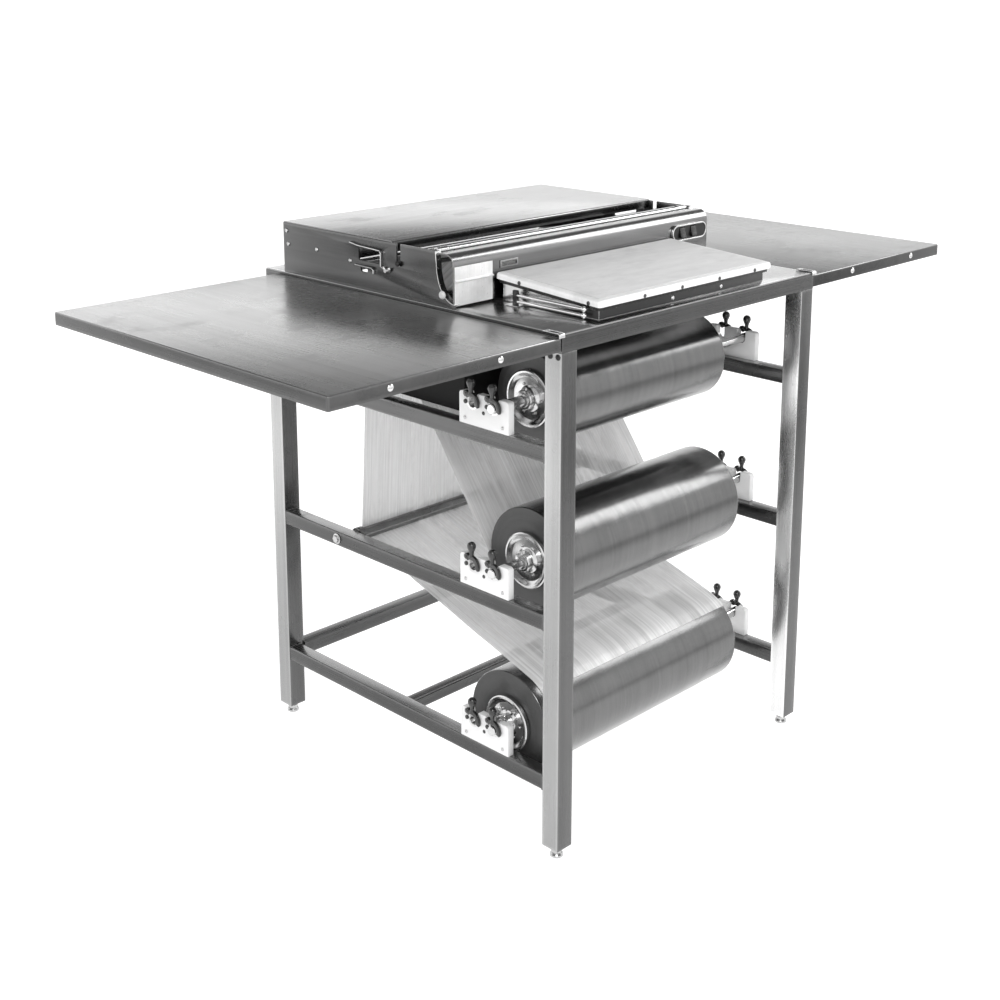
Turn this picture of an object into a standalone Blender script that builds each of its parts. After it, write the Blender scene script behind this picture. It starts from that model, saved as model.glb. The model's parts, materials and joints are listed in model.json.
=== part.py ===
"""Three-roll stretch-film wrapping station with two wing shelves.

Metres, +Z up. The origin is on the floor under the middle of the machine. +X runs from the operator's
left to the right, +Y runs from the front (hot plate) to the back. Every object is one separate piece.
"""
import math

import bmesh
import bpy
from mathutils import Matrix, Vector

# ---- driving dimensions -------------------------------------------------------------------------
GAP = 0.0003                 # clearance between two pieces that touch

FRAME_W = 0.622              # outside width of the leg frame, along X
FRAME_D = 0.684              # outside depth of the leg frame, along Y
LEG = 0.032                  # square leg tube
RAIL = 0.025                 # square rail tube
WALL = 0.0015                # tube wall
FOOT_H = 0.018               # leg underside above the floor
TOP_Z = 0.820                # table top above the floor
PAN_T = 0.0025               # table sheet
PAN_OPENING_W = 0.560        # opening under the head
PAN_OPENING_Y = (-0.096, 0.268)
SHEET = 0.002                # folded sheet metal
RAIL_Z = {"bottom": 0.109, "middle": 0.366, "upper": 0.624}    # underside of each pair of side rails

SHELF_X = 0.726              # outer edge of a wing shelf
SHELF_BACK = 0.308
SHELF_H = 0.020
SHELF_DROP = 0.005           # shelf top below the table top

SEAT_Y = (-0.208, -0.163)    # loaded front seat, spare back seat
SEAT_RISE = 0.036            # axle centre above a rail
CRADLE_Y = (-0.238, -0.134)
CRADLE_H = 0.050
CRADLE_T = 0.012
AXLE_R = 0.008
AXLE_HALF = 0.3185
HUB_R = 0.045
CORE_R = 0.0378
ROLLS = {                    # rail level: (film radius, left end, right end)
    "bottom": (0.083, -0.278, 0.201),
    "middle": (0.083, -0.236, 0.196),
    "upper": (0.071, -0.233, 0.160),
}

BAR_R = 0.010                # round guide bar on the middle rails
BAR_Y = 0.149
BAR_Z = 0.381
BAR_BOTTOM_Y = 0.016         # square guide bar on the bottom rails
BAR_BOTTOM = 0.020
ROLLER_R = 0.011
ROLLER_REAR = (0.125, 0.765)
ROLLER_FRONT = (0.000, 0.873)

FILM_T = 0.0005
FILM_CLEAR = 0.0005

HEAD_TOP = 0.904
HEAD_BACK = 0.290
HEAD_FRONT = -0.125
HEAD_SHOULDER = -0.084
PLATFORM_FRONT = 0.014
CHEEK = 0.003                # side cheek of the head
RISER_Y = -0.119             # middle of the riser's sheet
ROD_R = 0.0065               # cut-off rod
ROD = (-0.0728, 0.9000)

PLATE_W = 0.424              # hot plate
PLATE_D = 0.211
PLATE_RIM = 0.016            # depth of its folded edge
PLATE_TILT = math.radians(3.8)
PLATE_CENTRE = (-0.010, -0.2278, 0.858)

SWITCH_X = (0.206, 0.300)    # switch plate on the riser
SWITCH_Z = (0.856, 0.884)
SWITCH_Y = -0.1205           # its back face
SWITCH_T = 0.0045
ROCKER_X = {"plate": 0.232, "rod": 0.262}
INLET = (0.240, 0.862)       # middle of the mains inlet, (x, z)

HALF_W = FRAME_W / 2
HALF_D = FRAME_D / 2
RING_TOP = TOP_Z - PAN_T - GAP
RING_BOTTOM = RING_TOP - RAIL

# ---- colours: base colour, metallic, roughness ---------------------------------------------------
FINISHES = {
    "brushed": ((0.58, 0.58, 0.59), 1.0, 0.32),
    "polished": ((0.72, 0.72, 0.73), 1.0, 0.16),
    "release_sheet": ((0.66, 0.66, 0.64), 0.1, 0.55),
    "black_enamel": ((0.02, 0.02, 0.02), 0.0, 0.35),
    "white_plastic": ((0.83, 0.83, 0.82), 0.0, 0.45),
    "black_plastic": ((0.015, 0.015, 0.015), 0.0, 0.2),
    "wound_film": ((0.50, 0.50, 0.51), 0.3, 0.3),
    "clear_film": ((0.86, 0.86, 0.87), 0.0, 0.15),
}

PARTS = None
CUTTERS = None


# ---- helpers ---------------------------------------------------------------------------------------
def clear_scene():
    """Removes every object so that the script starts from an empty scene."""
    for obj in list(bpy.data.objects):
        bpy.data.objects.remove(obj, do_unlink=True)


def collection(name):
    """A new collection linked to the scene."""
    made = bpy.data.collections.new(name)
    bpy.context.scene.collection.children.link(made)
    return made


def dress(obj, finish):
    """Gives an object its own Principled material."""
    colour, metallic, roughness = FINISHES[finish]
    material = bpy.data.materials.new(obj.name + "_finish")
    material.use_nodes = True
    shader = material.node_tree.nodes["Principled BSDF"]
    shader.inputs["Base Color"].default_value = (*colour, 1.0)
    shader.inputs["Metallic"].default_value = metallic
    shader.inputs["Roughness"].default_value = roughness
    obj.data.materials.clear()
    obj.data.materials.append(material)


def add_object(name, bm, finish, location=(0, 0, 0), rotation=(0, 0, 0)):
    """Turns a bmesh into a named part of the machine."""
    mesh = bpy.data.meshes.new(name)
    bm.normal_update()
    bm.to_mesh(mesh)
    bm.free()
    obj = bpy.data.objects.new(name, mesh)
    obj.location = location
    obj.rotation_euler = rotation
    PARTS.objects.link(obj)
    dress(obj, finish)
    return obj


def box_bmesh(low, high):
    """A bmesh box between two corners."""
    bm = bmesh.new()
    size = [h - l for l, h in zip(low, high)]
    middle = [(l + h) / 2 for l, h in zip(low, high)]
    place = Matrix.Translation(middle) @ Matrix.Diagonal((*size, 1.0))
    bmesh.ops.create_cube(bm, size=1.0, matrix=place)
    return bm


def box(name, low, high, finish):
    """A plain bar or block between two corners."""
    return add_object(name, box_bmesh(low, high), finish)


def tube(name, low, high, axis, finish, wall=WALL):
    """A square tube: a box whose two end faces are inset and joined through."""
    bm = box_bmesh(low, high)
    ends = [f for f in bm.faces if abs(f.normal[axis]) > 0.9]
    bmesh.ops.inset_individual(bm, faces=ends, thickness=wall)
    bm.normal_update()
    edges = [e for f in ends for e in f.edges]
    bmesh.ops.delete(bm, geom=ends, context="FACES_ONLY")
    bmesh.ops.bridge_loops(bm, edges=edges)
    bmesh.ops.recalc_face_normals(bm, faces=bm.faces)
    return add_object(name, bm, finish)


def cylinder_bmesh(radius, length, centre, axis="X", segments=24):
    """A capped cylinder along world X or Z."""
    quarter = math.pi / 2
    turn = {"X": Matrix.Rotation(quarter, 4, "Y"), "Z": Matrix()}
    bm = bmesh.new()
    place = Matrix.Translation(centre) @ turn[axis]
    bmesh.ops.create_cone(bm, cap_ends=True, segments=segments, radius1=radius, radius2=radius,
                          depth=length, matrix=place)
    return bm


def cutter(name, bm):
    """A solid that only cuts others."""
    mesh = bpy.data.meshes.new(name)
    bm.to_mesh(mesh)
    bm.free()
    obj = bpy.data.objects.new(name, mesh)
    CUTTERS.objects.link(obj)
    obj.hide_render = True
    obj.display_type = "WIRE"
    return obj


def combine(obj, other, operation="DIFFERENCE"):
    """Cuts one object with another, or joins the other onto it."""
    modifier = obj.modifiers.new(other.name, "BOOLEAN")
    modifier.operation = operation
    modifier.solver = "EXACT"
    modifier.object = other


def section_bmesh(points, x_low, x_high):
    """A closed outline of (y, z) points, extruded along X."""
    bm = bmesh.new()
    ring = [bm.verts.new((x_low, y, z)) for y, z in points]
    face = bm.faces.new(ring)
    made = bmesh.ops.extrude_face_region(bm, geom=[face])
    far = [v for v in made["geom"] if isinstance(v, bmesh.types.BMVert)]
    bmesh.ops.translate(bm, verts=far, vec=(x_high - x_low, 0, 0))
    bmesh.ops.recalc_face_normals(bm, faces=bm.faces)
    return bm


def section_yz(name, points, x_low, x_high, finish):
    """A part with one (y, z) outline all along X."""
    return add_object(name, section_bmesh(points, x_low, x_high), finish)


def folded_sheet(name, path, x_low, x_high, thickness, finish, offset=0.0):
    """A sheet that follows a (y, z) path and spans from x_low to x_high."""
    bm = bmesh.new()
    near = [bm.verts.new((x_low, y, z)) for y, z in path]
    edges = [bm.edges.new(pair) for pair in zip(near, near[1:])]
    made = bmesh.ops.extrude_edge_only(bm, edges=edges)
    far = [v for v in made["geom"] if isinstance(v, bmesh.types.BMVert)]
    bmesh.ops.translate(bm, verts=far, vec=(x_high - x_low, 0, 0))
    obj = add_object(name, bm, finish)
    solid = obj.modifiers.new("thickness", "SOLIDIFY")
    solid.thickness = thickness
    solid.offset = offset
    solid.use_even_offset = True
    return obj


def shell_below(obj, thickness):
    """Gives an open-bottomed surface a wall that grows inwards."""
    solid = obj.modifiers.new("thickness", "SOLIDIFY")
    solid.thickness = thickness
    solid.offset = -1.0
    solid.use_even_offset = True


def open_below(bm):
    """Takes away the faces that look straight down."""
    bm.normal_update()
    under = [f for f in bm.faces if f.normal.z < -0.9]
    bmesh.ops.delete(bm, geom=under, context="FACES")


def turned(name, profile, finish, centre, steps=28, closed=False):
    """A profile of (radius, height) points, turned about world X through centre.

    The profile runs down its outer side, from the right end to the left end.
    """
    bm = bmesh.new()
    points = [bm.verts.new((radius, 0, height)) for radius, height in profile]
    pairs = list(zip(points, points[1:]))
    if closed:
        pairs.append((points[-1], points[0]))
    for pair in pairs:
        bm.edges.new(pair)
    obj = add_object(name, bm, finish, centre, (0, math.pi / 2, 0))
    screw = obj.modifiers.new("turn", "SCREW")
    screw.angle = math.tau
    screw.steps = steps
    screw.render_steps = steps
    screw.use_merge_vertices = True
    screw.merge_threshold = 0.0001
    screw.use_normal_calculate = False
    return obj


def arc(centre, radius, start, end, count):
    """Points on an arc, angles in degrees."""
    angles = [math.radians(start + (end - start) * i / count) for i in range(count + 1)]
    return [(centre[0] + radius * math.cos(a), centre[1] + radius * math.sin(a)) for a in angles]


def tangent(first, second):
    """The straight run between two circles given as (centre, radius, side), +1 for a centre on the left."""
    (c1, r1, s1), (c2, r2, s2) = first, second
    across = Vector(c2) - Vector(c1)
    turn = math.acos((s2 * r2 - s1 * r1) / across.length)
    angle = math.atan2(across.y, across.x) + turn
    normal = Vector((math.cos(angle), math.sin(angle)))
    return Vector(c1) - s1 * r1 * normal, Vector(c2) - s2 * r2 * normal


def film_path(circles, tail):
    """The path of a film round a row of circles, ending on the last one at the angle tail in degrees."""
    runs = [tangent(a, b) for a, b in zip(circles, circles[1:])]
    path = [tuple(runs[0][0])]
    for index, run in enumerate(runs):
        path.append(tuple(run[1]))
        centre, radius, side = circles[index + 1]
        leave = runs[index + 1][0] - Vector(centre) if index + 1 < len(runs) else None
        start = math.degrees(math.atan2(run[1].y - centre[1], run[1].x - centre[0]))
        end = tail if leave is None else math.degrees(math.atan2(leave.y, leave.x))
        path += arc(centre, radius, start, end, 5)[1:]
    return path


# ---- the frame -------------------------------------------------------------------------------------
def corner(side, end):
    """Signs of X and Y for one corner of the machine."""
    return (-1 if side == "left" else 1), (-1 if end == "front" else 1)


def leg(side, end):
    """A square leg tube, plugged at the bottom with a bore for the foot's stem."""
    sx, sy = corner(side, end)
    xs = sorted((sx * HALF_W, sx * (HALF_W - LEG)))
    ys = sorted((sy * HALF_D, sy * (HALF_D - LEG)))
    top = RING_BOTTOM - GAP
    plug = 0.022
    obj = box(f"leg_{end}_{side}", (xs[0], ys[0], FOOT_H), (xs[1], ys[1], top), "brushed")
    hollow = box_bmesh((xs[0] + WALL, ys[0] + WALL, FOOT_H + plug),
                       (xs[1] - WALL, ys[1] - WALL, top + 0.01))
    combine(obj, cutter(f"cut_leg_{end}_{side}", hollow))
    centre = (sum(xs) / 2, sum(ys) / 2, FOOT_H + plug / 2)
    bore = cylinder_bmesh(0.0056, plug + 0.02, centre, "Z", 16)
    combine(obj, cutter(f"bore_leg_{end}_{side}", bore))


def foot(side, end):
    """A levelling foot: a hexagonal pad on a threaded stem that screws into the leg plug."""
    sx, sy = corner(side, end)
    centre = (sx * (HALF_W - LEG / 2), sy * (HALF_D - LEG / 2), 0.0)
    pad_r = 0.0105
    pad_h = 0.008
    stem_r = 0.005
    stem_top = 0.050
    bm = bmesh.new()
    profile = [(0.0, stem_top), (stem_r, stem_top), (stem_r, pad_h), (pad_r, pad_h), (pad_r, 0.0),
               (0.0, 0.0)]
    points = [bm.verts.new((radius, 0, height)) for radius, height in profile]
    for pair in zip(points, points[1:]):
        bm.edges.new(pair)
    obj = add_object(f"foot_{end}_{side}", bm, "polished", centre)
    screw = obj.modifiers.new("turn", "SCREW")
    screw.steps = 12
    screw.render_steps = 12
    screw.use_merge_vertices = True
    screw.merge_threshold = 0.0001


def side_rail(side, level):
    """A tube between the front and the back leg of one side."""
    sx = -1 if side == "left" else 1
    xs = sorted((sx * HALF_W, sx * (HALF_W - RAIL)))
    reach = HALF_D - LEG - GAP
    z = RAIL_Z[level]
    tube(f"rail_{side}_{level}", (xs[0], -reach, z), (xs[1], reach, z + RAIL), 1, "brushed")


def back_rail():
    """The tube between the two back legs, near the floor."""
    reach = HALF_W - LEG - GAP
    y = HALF_D - 0.010
    z = RAIL_Z["bottom"]
    tube("rail_back_bottom", (-reach, y - RAIL, z), (reach, y, z + RAIL), 0, "brushed")


def guide_bars():
    """The round bar on the middle rails and the square bar on the bottom rails."""
    reach = HALF_W - RAIL - GAP
    bar = cylinder_bmesh(BAR_R, 2 * reach, (0, BAR_Y, BAR_Z), "X", 24)
    add_object("guide_bar_middle", bar, "polished")
    z = RAIL_Z["bottom"] + 0.0025
    half = BAR_BOTTOM / 2
    low = (-reach, BAR_BOTTOM_Y - half, z)
    tube("guide_bar_bottom", low, (reach, BAR_BOTTOM_Y + half, z + BAR_BOTTOM), 0, "brushed")


def top_ring():
    """The frame's top ring, a channel that is open below."""
    obj = box("top_frame", (-HALF_W, -HALF_D, RING_BOTTOM), (HALF_W, HALF_D, RING_TOP), "brushed")
    inner = (HALF_W - RAIL, HALF_D - RAIL)
    middle = box_bmesh((-inner[0], -inner[1], RING_BOTTOM - 0.01), (inner[0], inner[1], RING_TOP + 0.01))
    combine(obj, cutter("cut_ring_middle", middle))
    for name, x, y in (("left", -1, 0), ("right", 1, 0), ("front", 0, -1), ("back", 0, 1)):
        cx = x * (HALF_W - RAIL / 2)
        cy = y * (HALF_D - RAIL / 2)
        hx = RAIL / 2 - WALL if x else HALF_W - WALL
        hy = RAIL / 2 - WALL if y else HALF_D - WALL
        low = (cx - hx, cy - hy, RING_BOTTOM - 0.01)
        groove = box_bmesh(low, (cx + hx, cy + hy, RING_TOP - WALL))
        combine(obj, cutter(f"cut_ring_{name}", groove))


def top_pan():
    """The table sheet, open under the head so that the film comes up through it."""
    obj = box("top_pan", (-HALF_W, -HALF_D, TOP_Z - PAN_T), (HALF_W, HALF_D, TOP_Z), "brushed")
    half = PAN_OPENING_W / 2
    front, back = PAN_OPENING_Y
    opening = box_bmesh((-half, front, TOP_Z - 0.02), (half, back, TOP_Z + 0.02))
    combine(obj, cutter("cut_pan", opening))


def shelf(side):
    """A wing shelf: a shallow sheet tray turned upside down, fixed to the top ring."""
    sx = -1 if side == "left" else 1
    xs = sorted((sx * SHELF_X, sx * (HALF_W + GAP)))
    top = TOP_Z - SHELF_DROP
    bm = box_bmesh((xs[0], -HALF_D, top - SHELF_H), (xs[1], SHELF_BACK, top))
    open_below(bm)
    shell_below(add_object(f"shelf_{side}", bm, "brushed"), SHEET)


# ---- roll cradles and rolls ------------------------------------------------------------------------
def seat_z(level):
    """Height of a roll's axle."""
    return RAIL_Z[level] + RAIL + SEAT_RISE


def cradle(side, level):
    """A plastic cradle plate with two round-bottomed seats, standing on a side rail."""
    sx = -1 if side == "left" else 1
    low = RAIL_Z[level] + RAIL + GAP
    top = low + CRADLE_H
    seat = seat_z(level)
    slot_r = AXLE_R + 0.0006
    front, back = CRADLE_Y
    chamfer = 0.004
    points = [(back, low), (front, low), (front, top - chamfer), (front + chamfer, top)]
    for y in SEAT_Y:
        points += [(y - slot_r - 0.002, top), (y - slot_r, top - 0.003)]
        points += arc((y, seat), slot_r, 180, 360, 8)
        points += [(y + slot_r, top - 0.003), (y + slot_r + 0.002, top)]
    points += [(back - chamfer, top), (back, top - chamfer)]
    xs = sorted((sx * HALF_W, sx * (HALF_W - CRADLE_T)))
    section_yz(f"cradle_{side}_{level}", points, xs[0], xs[1], "white_plastic")


def keeper(side, level, seat):
    """A ball-tipped cam that swings over an axle on the outer face of a cradle."""
    sx = -1 if side == "left" else 1
    place = "front" if seat == 0 else "back"
    y = SEAT_Y[seat]
    z = seat_z(level)
    thick = 0.006
    x = sx * (HALF_W + GAP + thick / 2)
    cam = Vector((0, 0, 0.0175))
    pivot = Vector((0, 0.0095, 0.0135))
    ball = Vector((0, 0, 0.0325))
    name = f"keeper_{side}_{level}_{place}"
    turn = bpy.data.objects.new("pivot_" + name, None)
    turn.location = Vector((x, y, z)) + pivot
    PARTS.objects.link(turn)
    obj = add_object(name, cylinder_bmesh(0.0082, thick, cam - pivot, "X", 18), "black_plastic")
    lug = cylinder_bmesh(0.0045, thick, Vector((0, 0, 0)), "X", 12)
    stem = cylinder_bmesh(0.0022, 0.012, cam - pivot + Vector((0, 0, 0.010)), "Z", 10)
    sphere = bmesh.new()
    bmesh.ops.create_uvsphere(sphere, u_segments=12, v_segments=8, radius=0.0062,
                              matrix=Matrix.Translation(ball - pivot))
    for part_name, bm in (("lug", lug), ("stem", stem), ("ball", sphere)):
        tool = cutter(f"{part_name}_{name}", bm)
        tool.parent = turn
        combine(obj, tool, "UNION")
    obj.parent = turn


def hub_profile(end, out):
    """Points of an axle stub and its dished hub, from the axle's tip inwards; out is +1 at the right end."""
    lip = end + out * 0.006
    dish = end + out * 0.0008
    boss = end + out * 0.016
    inner = end - out * 0.030
    boss_r = 0.014
    rim_r = HUB_R - 0.006
    plug_r = CORE_R - 0.0005
    return [(0.0, out * AXLE_HALF), (AXLE_R, out * AXLE_HALF), (AXLE_R, boss), (boss_r, boss), (boss_r, dish),
            (rim_r, dish), (rim_r + 0.003, lip), (HUB_R, lip), (HUB_R, end), (plug_r, end), (plug_r, inner),
            (AXLE_R, inner)]


def spindle(level):
    """The axle of a film roll with its two dished hubs, as one turned piece."""
    _, left, right = ROLLS[level]
    profile = hub_profile(right + GAP, 1) + list(reversed(hub_profile(left - GAP, -1)))
    turned(f"spindle_{level}", profile, "polished", (0, SEAT_Y[0], seat_z(level)), 24)


def film_roll(level):
    """The wound film on its core, a thick ring round the hubs."""
    radius, left, right = ROLLS[level]
    edge = 0.0015
    profile = [(radius - edge, right), (radius, right - edge), (radius, left + edge), (radius - edge, left)]
    profile += [(CORE_R, left), (CORE_R, right)]
    centre = (0, SEAT_Y[0], seat_z(level))
    turned(f"film_roll_{level}", profile, "wound_film", centre, 48, closed=True)


def film_webs():
    """The two stretches of film between the lower rolls and the head."""
    reach = FILM_CLEAR + FILM_T / 2
    layer = 0.0012
    roll_low = ((SEAT_Y[0], seat_z("bottom")), ROLLS["bottom"][0] + reach, -1)
    bar = ((BAR_Y, BAR_Z), BAR_R + reach, 1)
    outer = [(ROLLER_REAR, ROLLER_R + reach + layer, 1), (ROLLER_FRONT, ROLLER_R + reach + layer, 1)]
    path = film_path([roll_low, bar, *outer], 100)
    _, left, right = ROLLS["bottom"]
    folded_sheet("film_web_bottom", path, left + 0.016, right - 0.004, FILM_T, "clear_film")

    roll_mid = ((SEAT_Y[0], seat_z("middle")), ROLLS["middle"][0] + reach, 1)
    inner = [(ROLLER_REAR, ROLLER_R + reach, 1), (ROLLER_FRONT, ROLLER_R + reach, 1)]
    path = film_path([roll_mid, *inner], 100)
    _, left, right = ROLLS["middle"]
    folded_sheet("film_web_middle", path, left + 0.006, right - 0.006, FILM_T, "clear_film")


# ---- the head --------------------------------------------------------------------------------------
def head_side(side):
    """A side cheek of the head, with a concave nose and an open slot for the front roller's axle."""
    sx = -1 if side == "left" else 1
    base = TOP_Z + GAP
    slot = 0.0045
    nose_top = HEAD_TOP - 0.020
    nose_drop = 0.058
    reach = HEAD_FRONT - HEAD_SHOULDER
    y, z = ROLLER_FRONT
    points = [(HEAD_BACK, base), (HEAD_BACK, HEAD_TOP), (y + slot, HEAD_TOP)]
    points += arc((y, z), slot, 0, -180, 6)
    points += [(y - slot, HEAD_TOP), (HEAD_SHOULDER, HEAD_TOP)]
    for step in range(7):
        turn = math.radians(15 * step)
        points.append((HEAD_SHOULDER + reach * (1 - math.cos(turn)), nose_top - nose_drop * math.sin(turn)))
    points.append((HEAD_FRONT, base))
    xs = sorted((sx * HALF_W, sx * (HALF_W - CHEEK)))
    section_yz(f"head_side_{side}", points, xs[0], xs[1], "brushed")


def head_platform():
    """The work surface behind the film slot, a cover folded down at its front and back."""
    low = HEAD_TOP + GAP
    front = PLATFORM_FRONT
    lip_drop = 0.014
    inner = HALF_W - CHEEK - GAP
    obj = box("head_platform", (-HALF_W, front, low), (HALF_W, HEAD_BACK, low + SHEET), "brushed")
    back = box_bmesh((-inner, HEAD_BACK - SHEET, TOP_Z + GAP), (inner, HEAD_BACK, low + SHEET / 2))
    combine(obj, cutter("platform_back", back), "UNION")
    lip = box_bmesh((-inner, front, low - lip_drop), (inner, front + SHEET, low + SHEET / 2))
    combine(obj, cutter("platform_lip", lip), "UNION")


def head_front():
    """The folded riser in front of the film slot; the cut-off rod lies in its top channel."""
    inner = HALF_W - CHEEK - GAP
    base = TOP_Z + GAP + SHEET / 2
    shoulder_r = 0.016
    crest = HEAD_TOP - 0.0035
    channel = crest - 0.0085
    rod_y = ROD[0]
    path = [(RISER_Y + 0.019, base), (RISER_Y, base)]
    path += arc((RISER_Y + shoulder_r, crest - shoulder_r), shoulder_r, 180, 90, 4)
    path += [(rod_y - 0.0150, crest), (rod_y - 0.0108, channel), (rod_y + 0.0108, channel)]
    path += [(rod_y + 0.0150, crest), (rod_y + 0.0228, crest), (rod_y + 0.0228, crest - 0.0205)]
    obj = folded_sheet("head_front_panel", path, -inner, inner, SHEET, "polished")
    slot = box_bmesh((-0.208, RISER_Y - 0.01, 0.8715), (-0.174, RISER_Y + 0.01, 0.8785))
    combine(obj, cutter("cut_riser_slot", slot))


def cutoff_rod():
    """The heated rod that parts the film."""
    reach = HALF_W - CHEEK - GAP
    add_object("cutoff_rod", cylinder_bmesh(ROD_R, 2 * reach, (0, *ROD), "X", 20), "polished")


def guide_roller(name, centre, axle_half, body_half):
    """A free-turning roller with two stub axles."""
    stub = 0.004
    profile = [(0.0, axle_half), (stub, axle_half), (stub, body_half), (ROLLER_R, body_half)]
    profile += [(radius, -height) for radius, height in reversed(profile)]
    turned(name, profile, "polished", (0, *centre), 20)


def hot_plate():
    """The sealing plate, a pan turned upside down that slopes to the operator, over its black base."""
    half_w = PLATE_W / 2
    half_d = PLATE_D / 2
    bm = box_bmesh((-half_w, -half_d, -PLATE_RIM), (half_w, half_d, 0.0))
    open_below(bm)
    plate = add_object("hot_plate", bm, "release_sheet", PLATE_CENTRE, (PLATE_TILT, 0, 0))
    shell_below(plate, 0.003)

    x, y, z = PLATE_CENTRE
    inset = 0.010
    back, front = y + half_d - 0.008, y - half_d + inset
    drop = PLATE_RIM / math.cos(PLATE_TILT) + 2 * GAP
    tops = [(edge, z + (edge - y) * math.tan(PLATE_TILT) - drop) for edge in (back, front)]
    base = TOP_Z + GAP
    bm = section_bmesh([(front, base), (back, base), *tops], x - half_w + inset, x + half_w - inset)
    open_below(bm)
    shell_below(add_object("hot_plate_base", bm, "black_enamel"), SHEET)


def switches():
    """The switch plate on the right of the riser, with its two rockers."""
    low, high = SWITCH_Z
    face = SWITCH_Y - SWITCH_T
    middle = (low + high) / 2
    plate = box("switch_plate", (SWITCH_X[0], face, low), (SWITCH_X[1], SWITCH_Y, high), "black_enamel")
    window_w, window_h = 0.0075, 0.0095
    rocker_w, rocker_h = 0.0068, 0.0085
    sunk, proud = 0.0012, 0.0050
    for name, x in ROCKER_X.items():
        window = box_bmesh((x - window_w, face - 0.01, middle - window_h),
                           (x + window_w, SWITCH_Y + 0.01, middle + window_h))
        combine(plate, cutter("window_" + name, window))
        turn = bpy.data.objects.new("pivot_rocker_" + name, None)
        turn.location = (x, face + 0.0008, middle)
        PARTS.objects.link(turn)
        points = [(sunk, rocker_h), (-0.0010, rocker_h), (-0.0030, 0.0), (-proud, -rocker_h),
                  (sunk, -rocker_h)]
        rocker = section_yz(f"rocker_{name}", points, -rocker_w, rocker_w, "black_plastic")
        rocker.parent = turn


def power_inlet():
    """The mains inlet on the back of the head."""
    x, z = INLET
    back = HEAD_BACK + GAP
    depth = 0.012
    half_w, half_h = 0.0135, 0.010
    rim = 0.0025
    obj = box("power_inlet", (x - half_w, back, z - half_h), (x + half_w, back + depth, z + half_h),
              "black_plastic")
    well = box_bmesh((x - half_w + rim, back + 0.005, z - half_h + rim),
                     (x + half_w - rim, back + depth + 0.01, z + half_h - rim))
    combine(obj, cutter("cut_inlet", well))


def build():
    """Builds every piece of the machine."""
    global PARTS, CUTTERS
    clear_scene()
    PARTS = collection("film_wrapping_station")
    CUTTERS = collection("cutters")
    for side in ("left", "right"):
        for end in ("front", "back"):
            leg(side, end)
            foot(side, end)
        for level in RAIL_Z:
            side_rail(side, level)
            cradle(side, level)
            for seat in (0, 1):
                keeper(side, level, seat)
        shelf(side)
        head_side(side)
    back_rail()
    guide_bars()
    top_ring()
    top_pan()
    for level in ROLLS:
        spindle(level)
        film_roll(level)
    film_webs()
    head_platform()
    head_front()
    cutoff_rod()
    guide_roller("guide_roller_front", ROLLER_FRONT, HALF_W + 0.004, HALF_W - 0.012)
    guide_roller("guide_roller_rear", ROLLER_REAR, HALF_W - RAIL - 0.002, HALF_W - RAIL - 0.010)
    hot_plate()
    switches()
    power_inlet()


build()
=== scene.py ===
"""Looks of a three-roll film wrapping station: tube frame, wing shelves, film rolls, head and hot plate.

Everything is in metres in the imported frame: +X to the operator's right, +Y to the back, +Z up.
"""
import json
import logging
import math
import random
from collections.abc import Callable, Iterable, Iterator, Sequence
from contextlib import contextmanager
from dataclasses import dataclass, field
from enum import Enum
from typing import Any

import bmesh
import bpy
from mathutils import Matrix, Vector


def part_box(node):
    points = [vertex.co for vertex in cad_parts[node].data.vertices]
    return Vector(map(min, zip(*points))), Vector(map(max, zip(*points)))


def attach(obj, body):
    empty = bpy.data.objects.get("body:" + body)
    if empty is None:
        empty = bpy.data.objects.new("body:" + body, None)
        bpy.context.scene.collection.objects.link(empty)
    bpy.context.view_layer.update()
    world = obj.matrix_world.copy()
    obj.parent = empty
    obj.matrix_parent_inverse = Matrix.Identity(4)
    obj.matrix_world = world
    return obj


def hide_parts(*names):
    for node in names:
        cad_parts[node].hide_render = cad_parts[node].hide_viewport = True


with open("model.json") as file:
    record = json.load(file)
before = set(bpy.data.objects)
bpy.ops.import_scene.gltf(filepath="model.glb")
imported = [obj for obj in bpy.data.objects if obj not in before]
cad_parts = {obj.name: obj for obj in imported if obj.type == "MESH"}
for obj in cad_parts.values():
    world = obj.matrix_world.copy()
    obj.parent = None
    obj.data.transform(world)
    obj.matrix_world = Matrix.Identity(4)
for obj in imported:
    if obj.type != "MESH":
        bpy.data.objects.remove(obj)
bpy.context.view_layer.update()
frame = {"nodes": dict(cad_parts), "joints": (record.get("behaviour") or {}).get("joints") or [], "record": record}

LOG = logging.getLogger("wrapping_station")
Point = tuple[float, float, float] | Vector
Flat = tuple[float, float]
SIDES = {"left": -1, "right": 1}
LEVELS = ("bottom", "middle", "upper")
ENDS = {"front": -1, "back": 1}
SKIN = 0.0003                # how far a laid-on detail stands off its ground


class Axis(Enum):
    """A world axis with its unit vector and the turn that lays a cylinder along it."""

    X = ((1, 0, 0), (0, math.pi / 2, 0))
    Y = ((0, 1, 0), (math.pi / 2, 0, 0))
    Z = ((0, 0, 1), (0, 0, 0))

    @property
    def vector(self) -> Point:
        """The unit vector along the axis."""
        return self.value[0]

    @property
    def turn(self) -> Point:
        """Euler angles that lay a Z cylinder along the axis."""
        return self.value[1]

    @property
    def index(self) -> int:
        """0, 1 or 2."""
        return "XYZ".index(self.name)


# ---- places in the frame ---------------------------------------------------------------------------
JOINTS = {joint["name"]: joint for joint in frame["joints"]}


def joint_place(name: str) -> Point:
    """Where a joint sits."""
    return JOINTS[name]["pos_m"]


def middle_of(node: str) -> Vector:
    """The middle of a node's box."""
    low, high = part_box(node)
    return (low + high) / 2


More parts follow.
